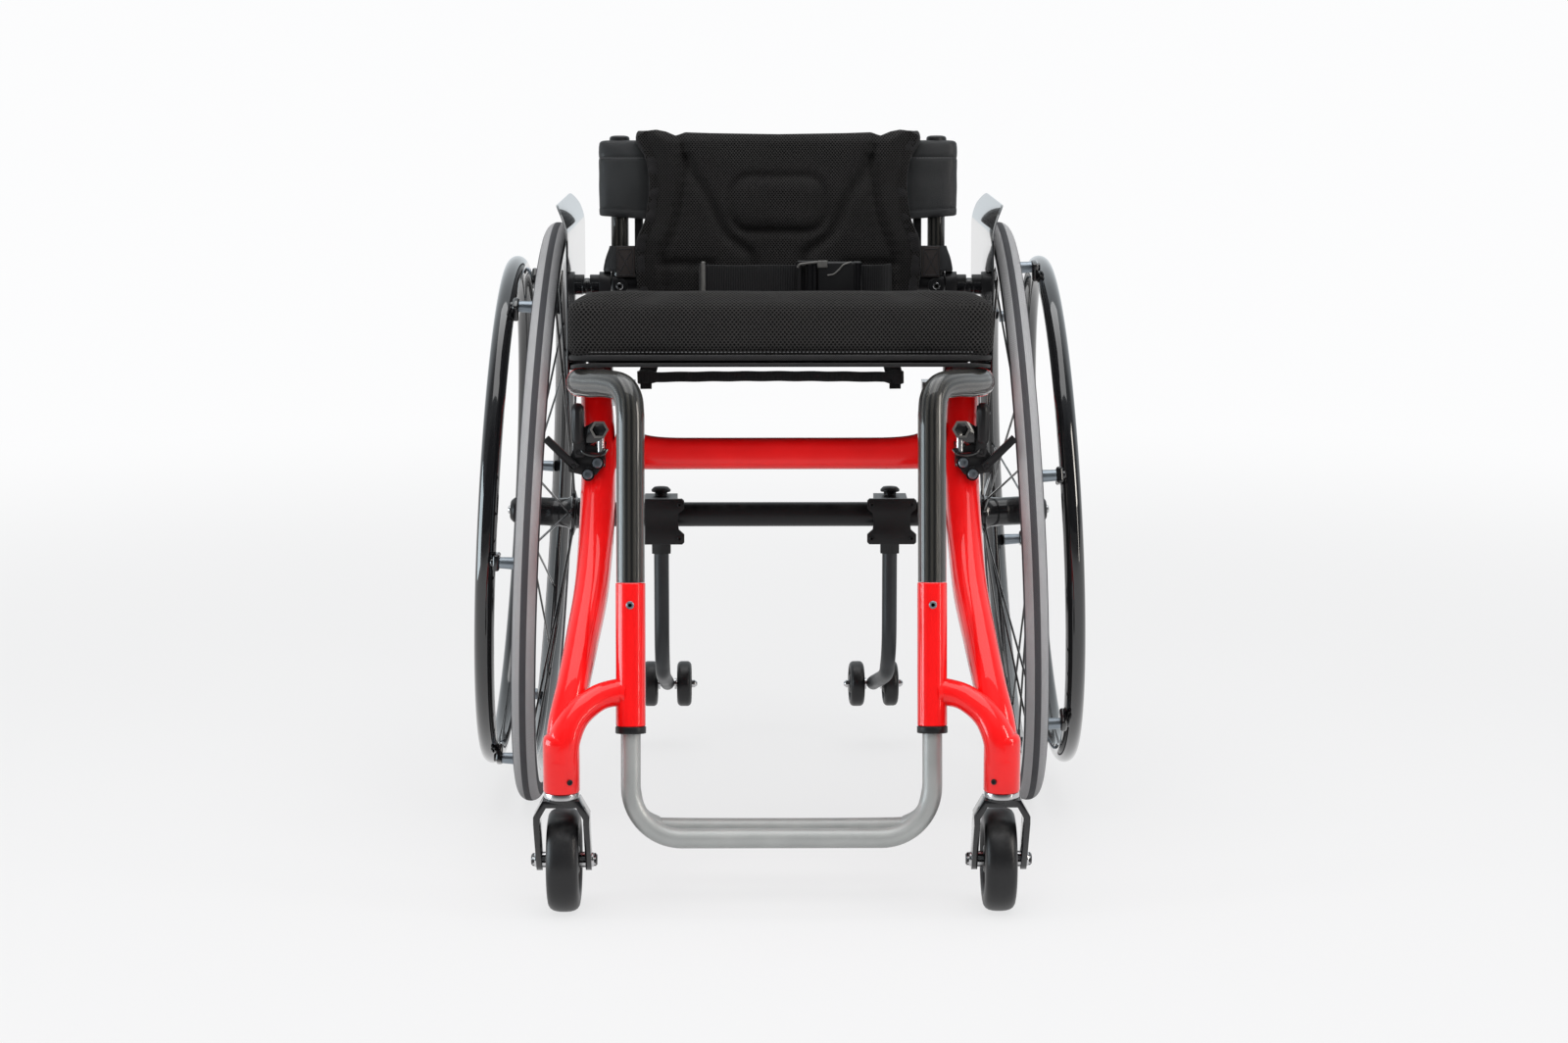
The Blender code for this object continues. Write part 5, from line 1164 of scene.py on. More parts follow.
# %% [markdown]
# The seat is a stretched sling on the rails with a foam cushion on it. The cushion's
# cover is one band round the sides and a top panel, of spacer mesh, with a dark tape
# where the band meets the base. Foam in a tight cover swells, so the shape comes from
# a cloth simulation: a slightly small block is blown up, capped and set on its base.

# %% The seat's own space
SEAT_PLACE = Matrix.Translation((0, RAIL_FRONT_Y, RAIL_FRONT_Z)) @ Matrix.Rotation(-SEAT_ANGLE, 4, "X")
SLING_THICK = 0.0046
SLING_Z = RAIL_R + 0.0003 + SLING_THICK / 2
CUSHION_FRONT, CUSHION_REAR, CUSHION_HALF = -0.0390, 0.3370, 0.1965
CUSHION_THICK, CUSHION_TAPER = 0.0655, 0.17
CUSHION_VOXEL, CUSHION_PRESSURE, CUSHION_CAP = 0.0055, 4.0, 0.0100
CUSHION_BASE = SLING_Z + SLING_THICK / 2 + 0.0003


def rounded_outline(x0, x1, y0, y1, radius, steps=10):
    """Points round a rectangle with rounded corners, anticlockwise from its right side."""
    points = []
    for cx, cy, start in ((x1 - radius, y1 - radius, 0.0), (x0 + radius, y1 - radius, 90.0),
            (x0 + radius, y0 + radius, 180.0), (x1 - radius, y0 + radius, 270.0)):
        points += arc_points((cx, cy), radius, start, start + 90.0, steps)
    return points


def plate_part(bm, outline, low, high, bevel, segments):
    """A flat plate: an outline filled, raised from one height to another, its rims rounded."""
    ring = [bm.verts.new((x, y, low)) for x, y in outline]
    edges = [bm.edges.new((a, b)) for a, b in zip(ring, ring[1:] + ring[:1])]
    bmesh.ops.contextual_create(bm, geom=edges)
    bmesh.ops.translate(bm, vec=(0, 0, high - low), verts=thicken(bm))
    rims = [edge for edge in bm.edges if abs(edge.verts[0].co.z - edge.verts[1].co.z) < 1e-7]
    soften(bm, rims, bevel, segments)


# %% The cushion's block
def cushion_block():
    """The block that is blown up: rounded upright corners, then rounded rims above."""
    bm = start_mesh()
    inset = 0.0050
    outline = rounded_outline(-CUSHION_HALF + inset, CUSHION_HALF - inset, CUSHION_FRONT + inset,
        CUSHION_REAR - inset, 0.0200, 12)
    plate_part(bm, outline, 0.0, CUSHION_THICK - inset, 0.0130, 5)
    return bm


def fit_range(values, low, high):
    """Scale and shift that bring the values' range to low and high."""
    scale = (high - low) / (max(values) - min(values))
    return scale, low - min(values) * scale


def finish_cushion(bm):
    """Fits the swollen foam to its place, sets it on its base and thins it towards the rear."""
    spans = ((-CUSHION_HALF, CUSHION_HALF), (CUSHION_FRONT, CUSHION_REAR),
        (-0.0040, CUSHION_THICK + 0.0020))
    fits = [fit_range([vert.co[k] for vert in bm.verts], *span) for k, span in enumerate(spans)]
    for vert in bm.verts:
        x, y, z = (value * scale + shift for value, (scale, shift) in zip(vert.co, fits))
        x = math.copysign(min(abs(x) * 1.014, CUSHION_HALF), x)
        back = min(max((y - CUSHION_FRONT) / (CUSHION_REAR - CUSHION_FRONT), 0.0), 1.0)
        z = max(z, 0.0)
        vert.co = (x, y, CUSHION_BASE + z * (1.0 - CUSHION_TAPER * back))


CORNER_R, RIM_R = 0.0350, 0.0220


def band_run(x, y):
    """How far round the plan outline a point lies from the middle of the front."""
    inner_x, inner_y = CUSHION_HALF - CORNER_R, CUSHION_FRONT + CORNER_R
    ax = abs(x)
    if ax <= inner_x and y < 0.15:
        run = ax
    elif y >= inner_y:
        run = inner_x + CORNER_R * math.pi / 2 + (y - inner_y)
    else:
        run = inner_x + CORNER_R * math.atan2(ax - inner_x, inner_y - y)
    return math.copysign(run, x)


def rim_height(depth, z):
    """How far up the band and over its rim a point lies, depth being its way in from the side."""
    flat = CUSHION_THICK - RIM_R
    if z < flat:
        return z
    if depth > RIM_R:
        return flat + RIM_R * math.pi / 2 + depth - RIM_R
    return flat + RIM_R * math.atan2(z - flat, max(RIM_R - depth, 1e-5))


def write_cushion_uv(bm):
    """The mesh runs up the front and over the top; the sides have the band's own run."""
    uv = bm.loops.layers.uv["metres"]
    bm.normal_update()
    for face in bm.faces:
        middle = face.calc_center_median()
        side_on = abs(face.normal.z) < 0.62 and (abs(middle.x) > CUSHION_HALF - CORNER_R)
        for loop in face.loops:
            x, y, z = loop.vert.co
            z -= CUSHION_BASE
            if side_on:
                loop[uv].uv = (band_run(x, y), z)
            else:
                loop[uv].uv = (x, rim_height(y - CUSHION_FRONT, z))


# %% [markdown]
# Cloth can be blown up like a balloon: the solver pushes every face outwards, and the
# threads hold it back. How far a point may move is capped, because foam does not
# stretch its cover without end, and the result is a plain mesh again.

# %% The cloth simulation
def swell(piece, pressure, cap, frames=20):
    before = [vert.co.copy() for vert in piece.data.vertices]
    cloth = piece.modifiers.new("filling", "CLOTH")
    cloth.settings.quality = 4
    cloth.settings.use_pressure = True
    cloth.settings.uniform_pressure_force = pressure
    cloth.settings.effector_weights.gravity = 0.0
    for number in range(1, frames + 1):
        scene.frame_set(number)
    ready = piece.evaluated_get(bpy.context.evaluated_depsgraph_get())
    after = [vert.co.copy() for vert in ready.data.vertices]
    piece.modifiers.remove(cloth)
    scene.frame_set(1)
    for vert, old, new in zip(piece.data.vertices, before, after):
        moved = new - old
        if moved.length > cap:
            moved *= cap / moved.length
        vert.co = old + moved


def remesh(piece, size):
    """Even square faces, from which cloth can swell alike in every direction."""
    even = piece.modifiers.new("even", "REMESH")
    even.mode = "VOXEL"
    even.voxel_size = size
    ready = piece.evaluated_get(bpy.context.evaluated_depsgraph_get())
    mesh = bpy.data.meshes.new_from_object(ready)
    piece.modifiers.remove(even)
    piece.data = mesh


def soft_block(bm, name, size, pressure, cap):
    mesh = bpy.data.meshes.new(name)
    bmesh.ops.recalc_face_normals(bm, faces=bm.faces)
    bm.to_mesh(mesh)
    bm.free()
    piece = bpy.data.objects.new(name, mesh)
    scene.collection.objects.link(piece)
    remesh(piece, size)
    swell(piece, pressure, cap)
    swollen = start_mesh()
    swollen.from_mesh(piece.data)
    bpy.data.objects.remove(piece, do_unlink=True)
    for _ in range(3):
        bmesh.ops.smooth_vert(swollen, verts=swollen.verts, factor=0.5, use_axis_x=True, use_axis_y=True,
            use_axis_z=True)
    return swollen


# %% Cushion
bm = soft_block(cushion_block(), "cushion_block", CUSHION_VOXEL, CUSHION_PRESSURE, CUSHION_CAP)
finish_cushion(bm)
write_cushion_uv(bm)
cushion = make_piece(bm, "cushion", MESH, 180.0, "seat_cushion", own_uv=True, place=SEAT_PLACE)
smooth = cushion.modifiers.new("smooth", "SUBSURF")
smooth.levels = smooth.render_levels = 1
print("cushion", len(cushion.data.polygons), "faces")

# %% [markdown]
# A dark tape binds the foot of the cushion's band, and a row of pale stitches holds it.
# The stitches are small closed beads laid along the outline, one every few millimetres.

# %% Cushion tape and stitches
def bead_row(bm, points, step, size):
    """Short beads along a line of points, each turned along the line."""
    run = [0.0]
    for a, b in zip(points, points[1:]):
        run.append(run[-1] + (b - a).length)
    count = int(run[-1] / step)
    for i in range(count):
        wanted = (i + 0.5) * step
        k = next(j for j in range(1, len(run)) if run[j] >= wanted)
        share = (wanted - run[k - 1]) / (run[k] - run[k - 1])
        point = points[k - 1].lerp(points[k], share)
        box_part(bm, size, place_at(point, points[k] - points[k - 1], (0, 0, 1)), min(size) * 0.3, 1)


def cushion_line(height, grow):
    """A line round the cushion's front and sides, at a height over its base."""
    outline = rounded_outline(-CUSHION_HALF - grow, CUSHION_HALF + grow, CUSHION_FRONT - grow,
        CUSHION_REAR + grow, 0.0300, 9)
    ordered = outline[18:] + outline[:18]
    return [SEAT_PLACE @ Vector((x, y, CUSHION_BASE + height)) for x, y in ordered]


bm = start_mesh()
tape = cushion_line(0.0042, -0.0046)
sweep_part(bm, [(point, 0.0026, 0.0042) for point in tape], 16, 3.0,
    SEAT_PLACE.to_3x3() @ Vector((0, 0, 1)), closed=True)
make_piece(bm, "cushion_tape", TWILL_TAPE, 60.0)
bm = start_mesh()
bead_row(bm, cushion_line(0.0092, -0.0024), 0.0036, (0.0008, 0.0010, 0.0022))
make_piece(bm, "cushion_stitches", PALE_THREAD, 60.0, slot="black_webbing")

# %% [markdown]
# The sling under the cushion is one sheet of webbing cloth, drawn tight from rail to
# rail. Its front edge is turned over a thin strip, so it looks like a thin board, and
# its ends droop a little round the rails.

# %% Sling
SLING_HALF, SLING_FLAT, SLING_DROOP = 0.1935, 0.1700, 0.0016
SLING_FRONT, SLING_REAR = -0.0400, 0.3450
bm = start_mesh()
outline = rounded_outline(-SLING_HALF, SLING_HALF, SLING_FRONT, SLING_REAR, 0.0160, 8)
plate_part(bm, outline, -0.0018, 0.0018, 0.0012, 3)
for x in (SLING_FLAT, -SLING_FLAT):
    cut_mesh(bm, (x, 0, 0), (1, 0, 0))
flat_uv(bm, lambda co: (co.x, co.y + co.z))
for vert in bm.verts:
    past = max(0.0, abs(vert.co.x) - SLING_FLAT) / (SLING_HALF - SLING_FLAT)
    vert.co.z += SLING_Z - SLING_DROOP * past ** 2
sling = make_piece(bm, "sling", WEBBING, 40.0, "seat_sling", own_uv=True, place=SEAT_PLACE)

# %% [markdown]
# The back is one padded panel of spacer mesh, sewn down along slanted channels, two
# side seams and a rounded oval for the lumbar. It is a fine grid that follows the
# panel's waist, made thick, whose front is then pushed in and out: high between the
# seams, low along them. The seams are lines of a few points, and each point of the
# grid asks how far away the nearest line is.

# %% The back's own space and lines
PIVOT_Y, PIVOT_Z = HUB_Y + 0.0800, 0.5270
POST_X, POST_R, BACK_LEAN = 0.1650, 0.0092, math.radians(4.0)
BACK_PLACE = Matrix.Translation((0, PIVOT_Y, PIVOT_Z)) @ Matrix.Rotation(-BACK_LEAN, 4, "X")
PAD_BACK, PAD_THICK = -0.0140, 0.0215
PAD_FOOT, PAD_HEAD = -0.0290, 0.1525
EDGE_LINE = mm((-29, 144.5), (-8.8, 145), (7.4, 147), (25.6, 147.9), (43.7, 146.2), (61.9, 138.5),
    (80, 135), (101.1, 132.8), (115.2, 134), (133.2, 138.2), (148, 144), (160, 146.2))
SEAM_LINE = mm((-29, 116), (-10.8, 116.7), (20.5, 119), (32.6, 116.5), (61.8, 105.6), (89, 100.1),
    (115.2, 97), (133.2, 97.9), (161, 105))
VEE_LINE = mm((127, 94.5), (110.1, 86.9), (94, 76.5), (75.9, 68), (57.8, 59.7), (45.7, 50.6), (35.6, 36.5),
    (28.5, 28.5), (18, 26.2))
FOOT_LINE = mm((20, 118.5), (19, 90), (18.8, 70))
TOP_LINE = mm((0, 0), (70, 1.2), (96, 2.2), (106, -1.2), (116, 3), (126, 5), (138, 3.4), (147, -3))
LUMBAR = (0.0809, 0.0476, 0.0287, 0.0190)


def on_back(x, y, z):
    """A point of the back's own space on the chair."""
    return BACK_PLACE @ Vector((x, y, z))


def at_height(line, z):
    """The line's place across at a height."""
    heights, places = zip(*line)
    return np.interp(z, heights, places)


def line_distance(x, z, line, count=60):
    """Distance of points (x, z), mirrored about the middle, to the smooth curve through a line."""
    curve = smooth_path([(u, h) for h, u in line], count)
    gaps = np.hypot(np.abs(x)[:, None] - curve[None, :, 0], z[:, None] - curve[None, :, 1])
    return gaps.min(axis=1)


def oval_distance(x, z, height, half_width, half_height, corner):
    """Signed distance to a rounded rectangle, below zero inside it."""
    dx = np.abs(x) - (half_width - corner)
    dz = np.abs(z - height) - (half_height - corner)
    return np.hypot(np.maximum(dx, 0), np.maximum(dz, 0)) + np.minimum(np.maximum(dx, dz), 0) - corner


def ease(t):
    t = np.clip(t, 0.0, 1.0)
    return t * t * (3.0 - 2.0 * t)


def groove(distance, depth, width):
    return depth * np.exp(-(distance / width) ** 2)


def pad_depth(x, z):
    """How far the front of the pad stands out from its back, at points (x, z)."""
    edge = at_height(EDGE_LINE, z) - np.abs(x)
    head = PAD_HEAD + 0.004 - z
    inwards = np.minimum((edge - 0.0095) / 0.0200, (head + 0.003) / 0.0160)
    body = 0.0052 + (PAD_THICK - 0.0052) * np.sqrt(ease(inwards))
    seam = line_distance(x, z, SEAM_LINE)
    vee = line_distance(x, z, VEE_LINE)
    foot = line_distance(x, z, FOOT_LINE)
    oval = oval_distance(x, z, *LUMBAR)
    cut = groove(seam, 0.0075, 0.0052) + groove(vee, 0.0062, 0.0056) + groove(foot, 0.0045, 0.0050)
    below = ease((LUMBAR[0] - z) / LUMBAR[2])
    cut += groove(oval, 0.0030 + 0.0028 * below, 0.0042)
    puff = 0.0030 * ease(-oval / 0.0160) + 0.0020 * ease((seam - 0.004) / 0.030)
    pucker = 0.0004 * np.sin(z * 620.0) * np.exp(-(seam / 0.009) ** 2)
    slack = 0.0007 * np.sin(x * 61.0 + z * 47.0) * np.sin(z * 83.0 - x * 22.0 + 1.3)
    return np.maximum(body + puff + slack + pucker - cut, 0.0035)


# %% Back pad
PAD_COLUMNS, PAD_LEVELS = 150, 96
bm = start_mesh()
grid = bmesh.ops.create_grid(bm, x_segments=PAD_COLUMNS, y_segments=PAD_LEVELS, size=1.0)["verts"]
for vert in grid:
    across, up = vert.co.x, (vert.co.y + 1.0) / 2.0
    z = PAD_FOOT + (PAD_HEAD - PAD_FOOT) * up
    half = float(at_height(EDGE_LINE, z))
    top = float(np.interp(abs(across) * half, *zip(*TOP_LINE)))
    vert.co = (across * half, 0.0, z + top * up ** 8)
front = thicken(bm)
x = np.array([vert.co.x for vert in front])
z = np.array([vert.co.z for vert in front])
for vert, depth in zip(front, pad_depth(x, z)):
    vert.co.y = PAD_BACK - float(depth)
for vert in grid:
    edge = float(at_height(EDGE_LINE, vert.co.z)) - abs(vert.co.x)
    vert.co.y = PAD_BACK - 0.0012 * max(0.0, 1.0 - edge / 0.006) ** 2
flat_uv(bm, lambda co: (co.x, co.z))
back_body = body_of("back_pad")
pad = make_piece(bm, "back_panel", BACK_MESH, 75.0, "back_pad", body=back_body, own_uv=True,
    place=BACK_PLACE)
print("back pad", len(pad.data.polygons), "faces")

# %% [markdown]
# Its edges are bound with twill tape folded round them. The tape is a flat oval swept
# along the edge line, with the UV map running along it so that the twill stays even.

# %% Binding
TAPE_HALF = 0.0054
for label, side in SIDES:
    line = [(side * (u - TAPE_HALF + 0.0006), -0.0180, z) for z, u in EDGE_LINE[:-2]]
    line += [(side * 0.1405, -0.0172, 0.1470), (side * 0.1392, -0.0130, 0.1540),
        (side * 0.1388, -0.0085, 0.1500)]
    bm = start_mesh()
    stations = []
    for i, point in enumerate(smooth_path(line, 110)):
        wave = 0.0005 * math.sin(i * 0.43) + 0.0003 * math.sin(i * 0.97 + 1.0)
        flare = 0.0014 * float(ease((point[2] - 0.125) / 0.02))
        stations.append((on_back(point[0], point[1] + wave, point[2]), TAPE_HALF + flare, 0.0030))
    sweep_part(bm, stations, 28, 3.4, (1, 0, 0))
    make_piece(bm, "edge_tape_" + label, TWILL_TAPE, 60.0, body=back_body)

# %% [markdown]
# The posts that carry the back are carbon too, with a dark cap on top and a thin stay
# beside each. At the foot, a knuckle turns on the fold pin, and a screw with a washer
# faces forward. The post and its knuckle fold with the back; the bracket stays.

# %% Back posts
POST_LENGTH, CAP_FOOT = 0.1440, 0.1436
for label, side in SIDES:
    bm = start_mesh()
    foot, head = on_back(side * POST_X, 0, 0), on_back(side * POST_X, 0, POST_LENGTH)
    tube_part(bm, [foot.lerp(head, i / 24) for i in range(25)], POST_R, 40)
    make_piece(bm, "post_tube_" + label, CARBON, 40.0, "back_post_" + label, body=back_body)

    bm = start_mesh()
    knuckle = place_at((side * 0.1400, PIVOT_Y, PIVOT_Z), (side, 0, 0), (0, 0, 1))
    spin_part(bm, mm((4.3, 9.8), (4.3, 33.8), (9.2, 33.8), (10.1, 33.4), (10.5, 32.8), (10.5, 1.2),
        (10.1, 0.4), (9.2, 0), (0, 0), (0, 9.8)), 56, knuckle)
    rod_part(bm, on_back(side * 0.1452, 0, 0), on_back(side * 0.1452, 0, 0.0679), 0.0045, 24)
    face = place_at((side * POST_X, PIVOT_Y - 0.0070, PIVOT_Z - 0.0030), (0, -1, 0), (0, 0, 1))
    spin_part(bm, mm((0, 6.2), (7.4, 6.2), (8.4, 5.4), (8.7, 4.2), (8.7, 0), (0, 0)), 44, face)
    cap = BACK_PLACE @ place_at((side * POST_X, 0, CAP_FOOT), (0, 0, 1), (1, 0, 0))
    spin_part(bm, mm((0, 8.6), (6, 8.4), (8.8, 7.8), (10.1, 6.6), (10.5, 5), (10.5, 0), (0, 0)), 44, cap)
    make_piece(bm, "post_fittings_" + label, BLACK, 32.0, body=back_body)
    bm = start_mesh()
    screw_part(bm, face @ Matrix.Translation((0, 0, 0.0060)), 0.0036, 0.0026)
    make_piece(bm, "post_screw_" + label, STEEL, 30.0, body=back_body)

    refine_node("back_bracket_" + label, BLACK, 0.0008)
    stub = place_at((side * 0.1750, PIVOT_Y, PIVOT_Z - 0.0042), (side, 0, 0), (0, 0, 1))
    grooved = mm((0, 0), (8.7, 0), (9.1, 0.4), (9.1, 8.6), (8.6, 9.1), (8.3, 9.3), (8.3, 10.8), (8.7, 11.1),
        (9, 11.6), (9, 19.6), (8.6, 20.1), (8.2, 20.3), (8.2, 22.2), (8.7, 22.6), (8.7, 26.2), (8.2, 26.8),
        (0, 26.8))
    turned_piece("bracket_stub_" + label, GLOSS, 30.0, grooved, 56, stub)

# %% [markdown]
# A leatherette cuff sleeves the top of each post. Its upper end is drawn in over the
# cap and stitched down, its lower end is hemmed. The swept section is a flat box with
# soft corners; small waves in its width and depth stand for the fabric's slack.

# %% Cuffs
CUFF = mm((69, 24, 11.2), (69.4, 25.8, 12.8), (70.2, 27, 13.9), (74, 27.2, 14.1), (76.4, 27.1, 13.9),
    (77.4, 26.4, 13.3), (78.4, 26.9, 13.6), (90, 27.2, 13.8), (109, 27.4, 13.9), (126, 27.4, 13.9),
    (127.6, 27.2, 13.7), (128.6, 26.4, 13), (129.7, 27.2, 13.8), (134, 27.5, 14.3), (140, 27.2, 13.9),
    (144, 26.6, 13.1), (145.8, 25.2, 11.9), (146.7, 23, 10.4), (147, 19.6, 8.4))
CUFF_X, CUFF_POWER = 0.1592, 3.2
STITCH_Z, HEM_STITCH_Z = 0.1287, 0.0775
HEM_SLANT = 0.0040


def cuff_section(z):
    """Half width and half depth of the cuff at a height, with its slack."""
    levels, widths, depths = zip(*CUFF)
    slack = 0.00018 * math.sin(z * 210.0) * math.sin(z * 67.0 + 0.7)
    return float(np.interp(z, levels, widths)) + slack, float(np.interp(z, levels, depths)) + slack


def cuff_ring(side, z, grow, count=90):
    """Points round the cuff at a height, standing off it by grow."""
    half_width, half_depth = cuff_section(z)
    points = []
    for i in range(count + 1):
        angle = math.tau * i / count
        c, s = math.cos(angle), math.sin(angle)
        u = math.copysign(abs(c) ** (2 / CUFF_POWER), c) * (half_width + grow)
        v = math.copysign(abs(s) ** (2 / CUFF_POWER), s) * (half_depth + grow)
        points.append(Vector((side * CUFF_X + u, v, z)))
    return points


def slant_hem(verts, side):
    """Drops the hem towards the panel, fading out above it."""
    for vert in verts:
        inwards = 0.5 - (vert.co.x * side - CUFF_X) / 0.055
        vert.co.z -= HEM_SLANT * inwards * float(ease((0.100 - vert.co.z) / 0.028))


for label, side in SIDES:
    bm = start_mesh()
    levels = [level for level, _, _ in CUFF]
    heights = sorted(set(levels) | set(np.arange(0.081, 0.124, 0.0035).tolist()))
    stations = [(Vector((side * CUFF_X, 0, z)), *cuff_section(z)) for z in heights]
    sweep_part(bm, stations, 72, CUFF_POWER, (1, 0, 0))
    slant_hem(bm.verts, side)
    cuff = make_piece(bm, "post_cuff_" + label, LEATHERETTE, 50.0, "back_cuff_" + label, body=back_body,
        place=BACK_PLACE)
    bm = start_mesh()
    bead_row(bm, cuff_ring(side, STITCH_Z, 0.0001), 0.0030, (0.0008, 0.0010, 0.0024))
    make_piece(bm, "cuff_stitches_" + label, PALE_THREAD, 60.0, body=back_body, place=BACK_PLACE)
    bm = start_mesh()
    bead_row(bm, cuff_ring(side, HEM_STITCH_Z, 0.0001), 0.0030, (0.0007, 0.0008, 0.0021))
    slant_hem(bm.verts, side)
    make_piece(bm, "cuff_hem_stitches_" + label, THREAD, 60.0, body=back_body, place=BACK_PLACE)

# %% [markdown]
# A strap of the same stuff wraps each post's foot. A square with a cross in it is sewn
# through its end, as on any strap that carries load.

# %% Straps
STRAP = mm((165.5, 11.4, 16.4, 12.2), (165.5, 12.2, 17, 13), (164.5, 22, 16, 13.1), (162.8, 32, 14.2, 12.7),
    (162.2, 37, 13.6, 12.2), (162.2, 37.8, 12.6, 11.2))
for label, side in SIDES:
    bm = start_mesh()
    stations = [(on_back(side * x, 0, z), w, d) for x, z, w, d in smooth_path(STRAP, 22)]
    sweep_part(bm, stations, 64, 3.4, (1, 0, 0))
    strap = make_piece(bm, "foot_strap_" + label, LEATHERETTE, 50.0, "post_strap_" + label, body=back_body)
    bm = start_mesh()
    flap = BACK_PLACE @ Matrix.Translation((side * 0.1586, -0.0138, 0.0212))
    box_part(bm, (0.0192, 0.0024, 0.0318), flap, 0.0009, 3)
    make_piece(bm, "strap_flap_" + label, STRAP_CLOTH, 50.0, body=back_body)
    bm = start_mesh()
    left, right, low, high = 0.1514, 0.1666, 0.0072, 0.0342
    corners = [(left, low), (right, low), (right, high), (left, high)]
    crossed = [(corners[0], corners[2]), (corners[1], corners[3])]
    for a, b in list(zip(corners, corners[1:] + corners[:1])) + crossed:
        ends = [on_back(side * x, -0.0151, z) for x, z in (a, b)]
        bead_row(bm, ends, 0.0024, (0.0011, 0.0008, 0.0022))
    make_piece(bm, "strap_stitches_" + label, THREAD, 60.0, body=back_body)

# %% [markdown]
# Behind the seat hangs a short apron of webbing cloth, and two tapes go on from it to a
# stiff strip wrapped in the same cloth. Under the seat the lens sees only the strip,
# with light between it and the sling, and its thicker wrapped ends. The apron is a grid
# with a slow ripple, made thick; the strip is a swept flat section.

# %% Apron and strip
APRON_Y, APRON_TOP, APRON_FOOT, APRON_HALF = -0.0124, 0.0060, -0.0850, 0.1330
APRON_THICK = 0.0014
STRIP_LEFT, STRIP_RIGHT, STRIP_Y, STRIP_Z = -0.1470, 0.1310, -0.0126, -0.0990
bm = start_mesh()
apron = bmesh.ops.create_grid(bm, x_segments=60, y_segments=20, size=0.5)["verts"]
for vert in apron:
    x, z = vert.co.x * 2 * APRON_HALF, APRON_FOOT + (vert.co.y + 0.5) * (APRON_TOP - APRON_FOOT)
    ripple = 0.0008 * math.sin(x * 70.0 + z * 18.0) * float(ease((APRON_TOP - z) / 0.03))
    vert.co = (x, APRON_Y + ripple, z)
flat_uv(bm, lambda co: (co.x, co.z))
bmesh.ops.solidify(bm, geom=bm.faces[:], thickness=APRON_THICK)
cloth = make_piece(bm, "apron_sheet", WEBBING, 60.0, "back_hem", body=back_body, own_uv=True,
    place=BACK_PLACE)

bm = start_mesh()
stations = []
for i in range(57):
    x = STRIP_LEFT + (STRIP_RIGHT - STRIP_LEFT) * i / 56
    wrap = float(ease((min(x - STRIP_LEFT, STRIP_RIGHT - x) - 0.012) / -0.006 + 1.0))
    end = float(ease(min(x - STRIP_LEFT, STRIP_RIGHT - x) / 0.003))
    sag = 0.0012 * math.cos(math.pi * (i / 56 - 0.5)) + 0.0002 * math.sin(i * 0.9)
    stations.append((on_back(x, STRIP_Y, STRIP_Z + sag), (0.0053 + 0.0026 * wrap) * (0.8 + 0.2 * end),
        (0.0030 + 0.0020 * wrap) * (0.7 + 0.3 * end)))
sweep_part(bm, stations, 28, 3.6, (0, 0, 1))
for x in (STRIP_LEFT + 0.0090, STRIP_RIGHT - 0.0090):
    tape = smooth_path(((x * 0.94, APRON_Y + 0.0022, APRON_FOOT + 0.0200),
        (x * 0.97, APRON_Y + 0.0020, APRON_FOOT), (x, STRIP_Y + 0.0010, STRIP_Z)), 14)
    sweep_part(bm, [(BACK_PLACE @ Vector(p), 0.0088, 0.0008) for p in tape], 16, 5.0, (1, 0, 0))
    tag = place_at(on_back(x, STRIP_Y - 0.0030, STRIP_Z - 0.0070), (0, 0, 1), (1, 0.1, 0))
    box_part(bm, (0.0120, 0.0014, 0.0100), tag, 0.0005, 2)
strip = make_piece(bm, "apron_strip", WEBBING, 50.0, body=back_body)

# %% [markdown]
# The side guards keep the wheels off the rider's clothes. Each is a thin gloss sheet
# whose top rolls outwards over the tyre. At the camera's grazing angle they mirror the
# white room and the cuffs, so their shape has to be smooth: one fine grid, bent by a
# formula and extruded by its thickness.

# %% Side guards
GUARD_INNER_X, GUARD_THICK, GUARD_ROLL = 0.1995, 0.0020, 0.0125
FRONT_DROP, REAR_DROP = 0.032, 0.012
GUARD_FRONT_Y, GUARD_LENGTH, GUARD_TOP_Z, GUARD_ROLL_Z = HUB_Y - 0.2450, 0.2950, 0.6235, 0.5900
for label, side in SIDES:
    bm = start_mesh()
    grid = bmesh.ops.create_grid(bm, x_segments=84, y_segments=70, size=0.5)["verts"]
    for vert in grid:
        t, s = vert.co.x + 0.5, vert.co.y + 0.5
        y = GUARD_FRONT_Y + GUARD_LENGTH * t
        foot = seat_line(y, -0.0080)
        head = GUARD_TOP_Z - FRONT_DROP * max(0.0, 1.0 - t / 0.20) ** 2
        head -= REAR_DROP * max(0.0, (t - 0.86) / 0.14) ** 2
        z = foot + (head - foot) * (1.0 - (1.0 - s) ** 1.35)
        out = GUARD_ROLL * max(0.0, (z - GUARD_ROLL_Z) / (GUARD_TOP_Z - GUARD_ROLL_Z)) ** 2
        vert.co = (side * (GUARD_INNER_X + out), y, z)
    bmesh.ops.translate(bm, vec=(side * GUARD_THICK, 0, -0.0006), verts=thicken(bm))
    flat_uv(bm, lambda co: (co.y, co.z))
    bmesh.ops.recalc_face_normals(bm, faces=bm.faces)
    soften(bm, sharp_edges(bm, 60.0), 0.0005)
    reach = [abs(vert.co.x) for vert in bm.verts]
    make_piece(bm, "guard_sheet_" + label, MIRROR_BLACK, 60.0, "side_guard_" + label, own_uv=True)
    print("guard", label, round(max(reach), 4), round(min(reach), 4))

# %% [markdown]
# The lap belt stands on edge on the cushion, before the back. The webbing is one strip
# with a rib every couple of millimetres. A slider bar holds its loose end, and a
# side-release buckle closes it.

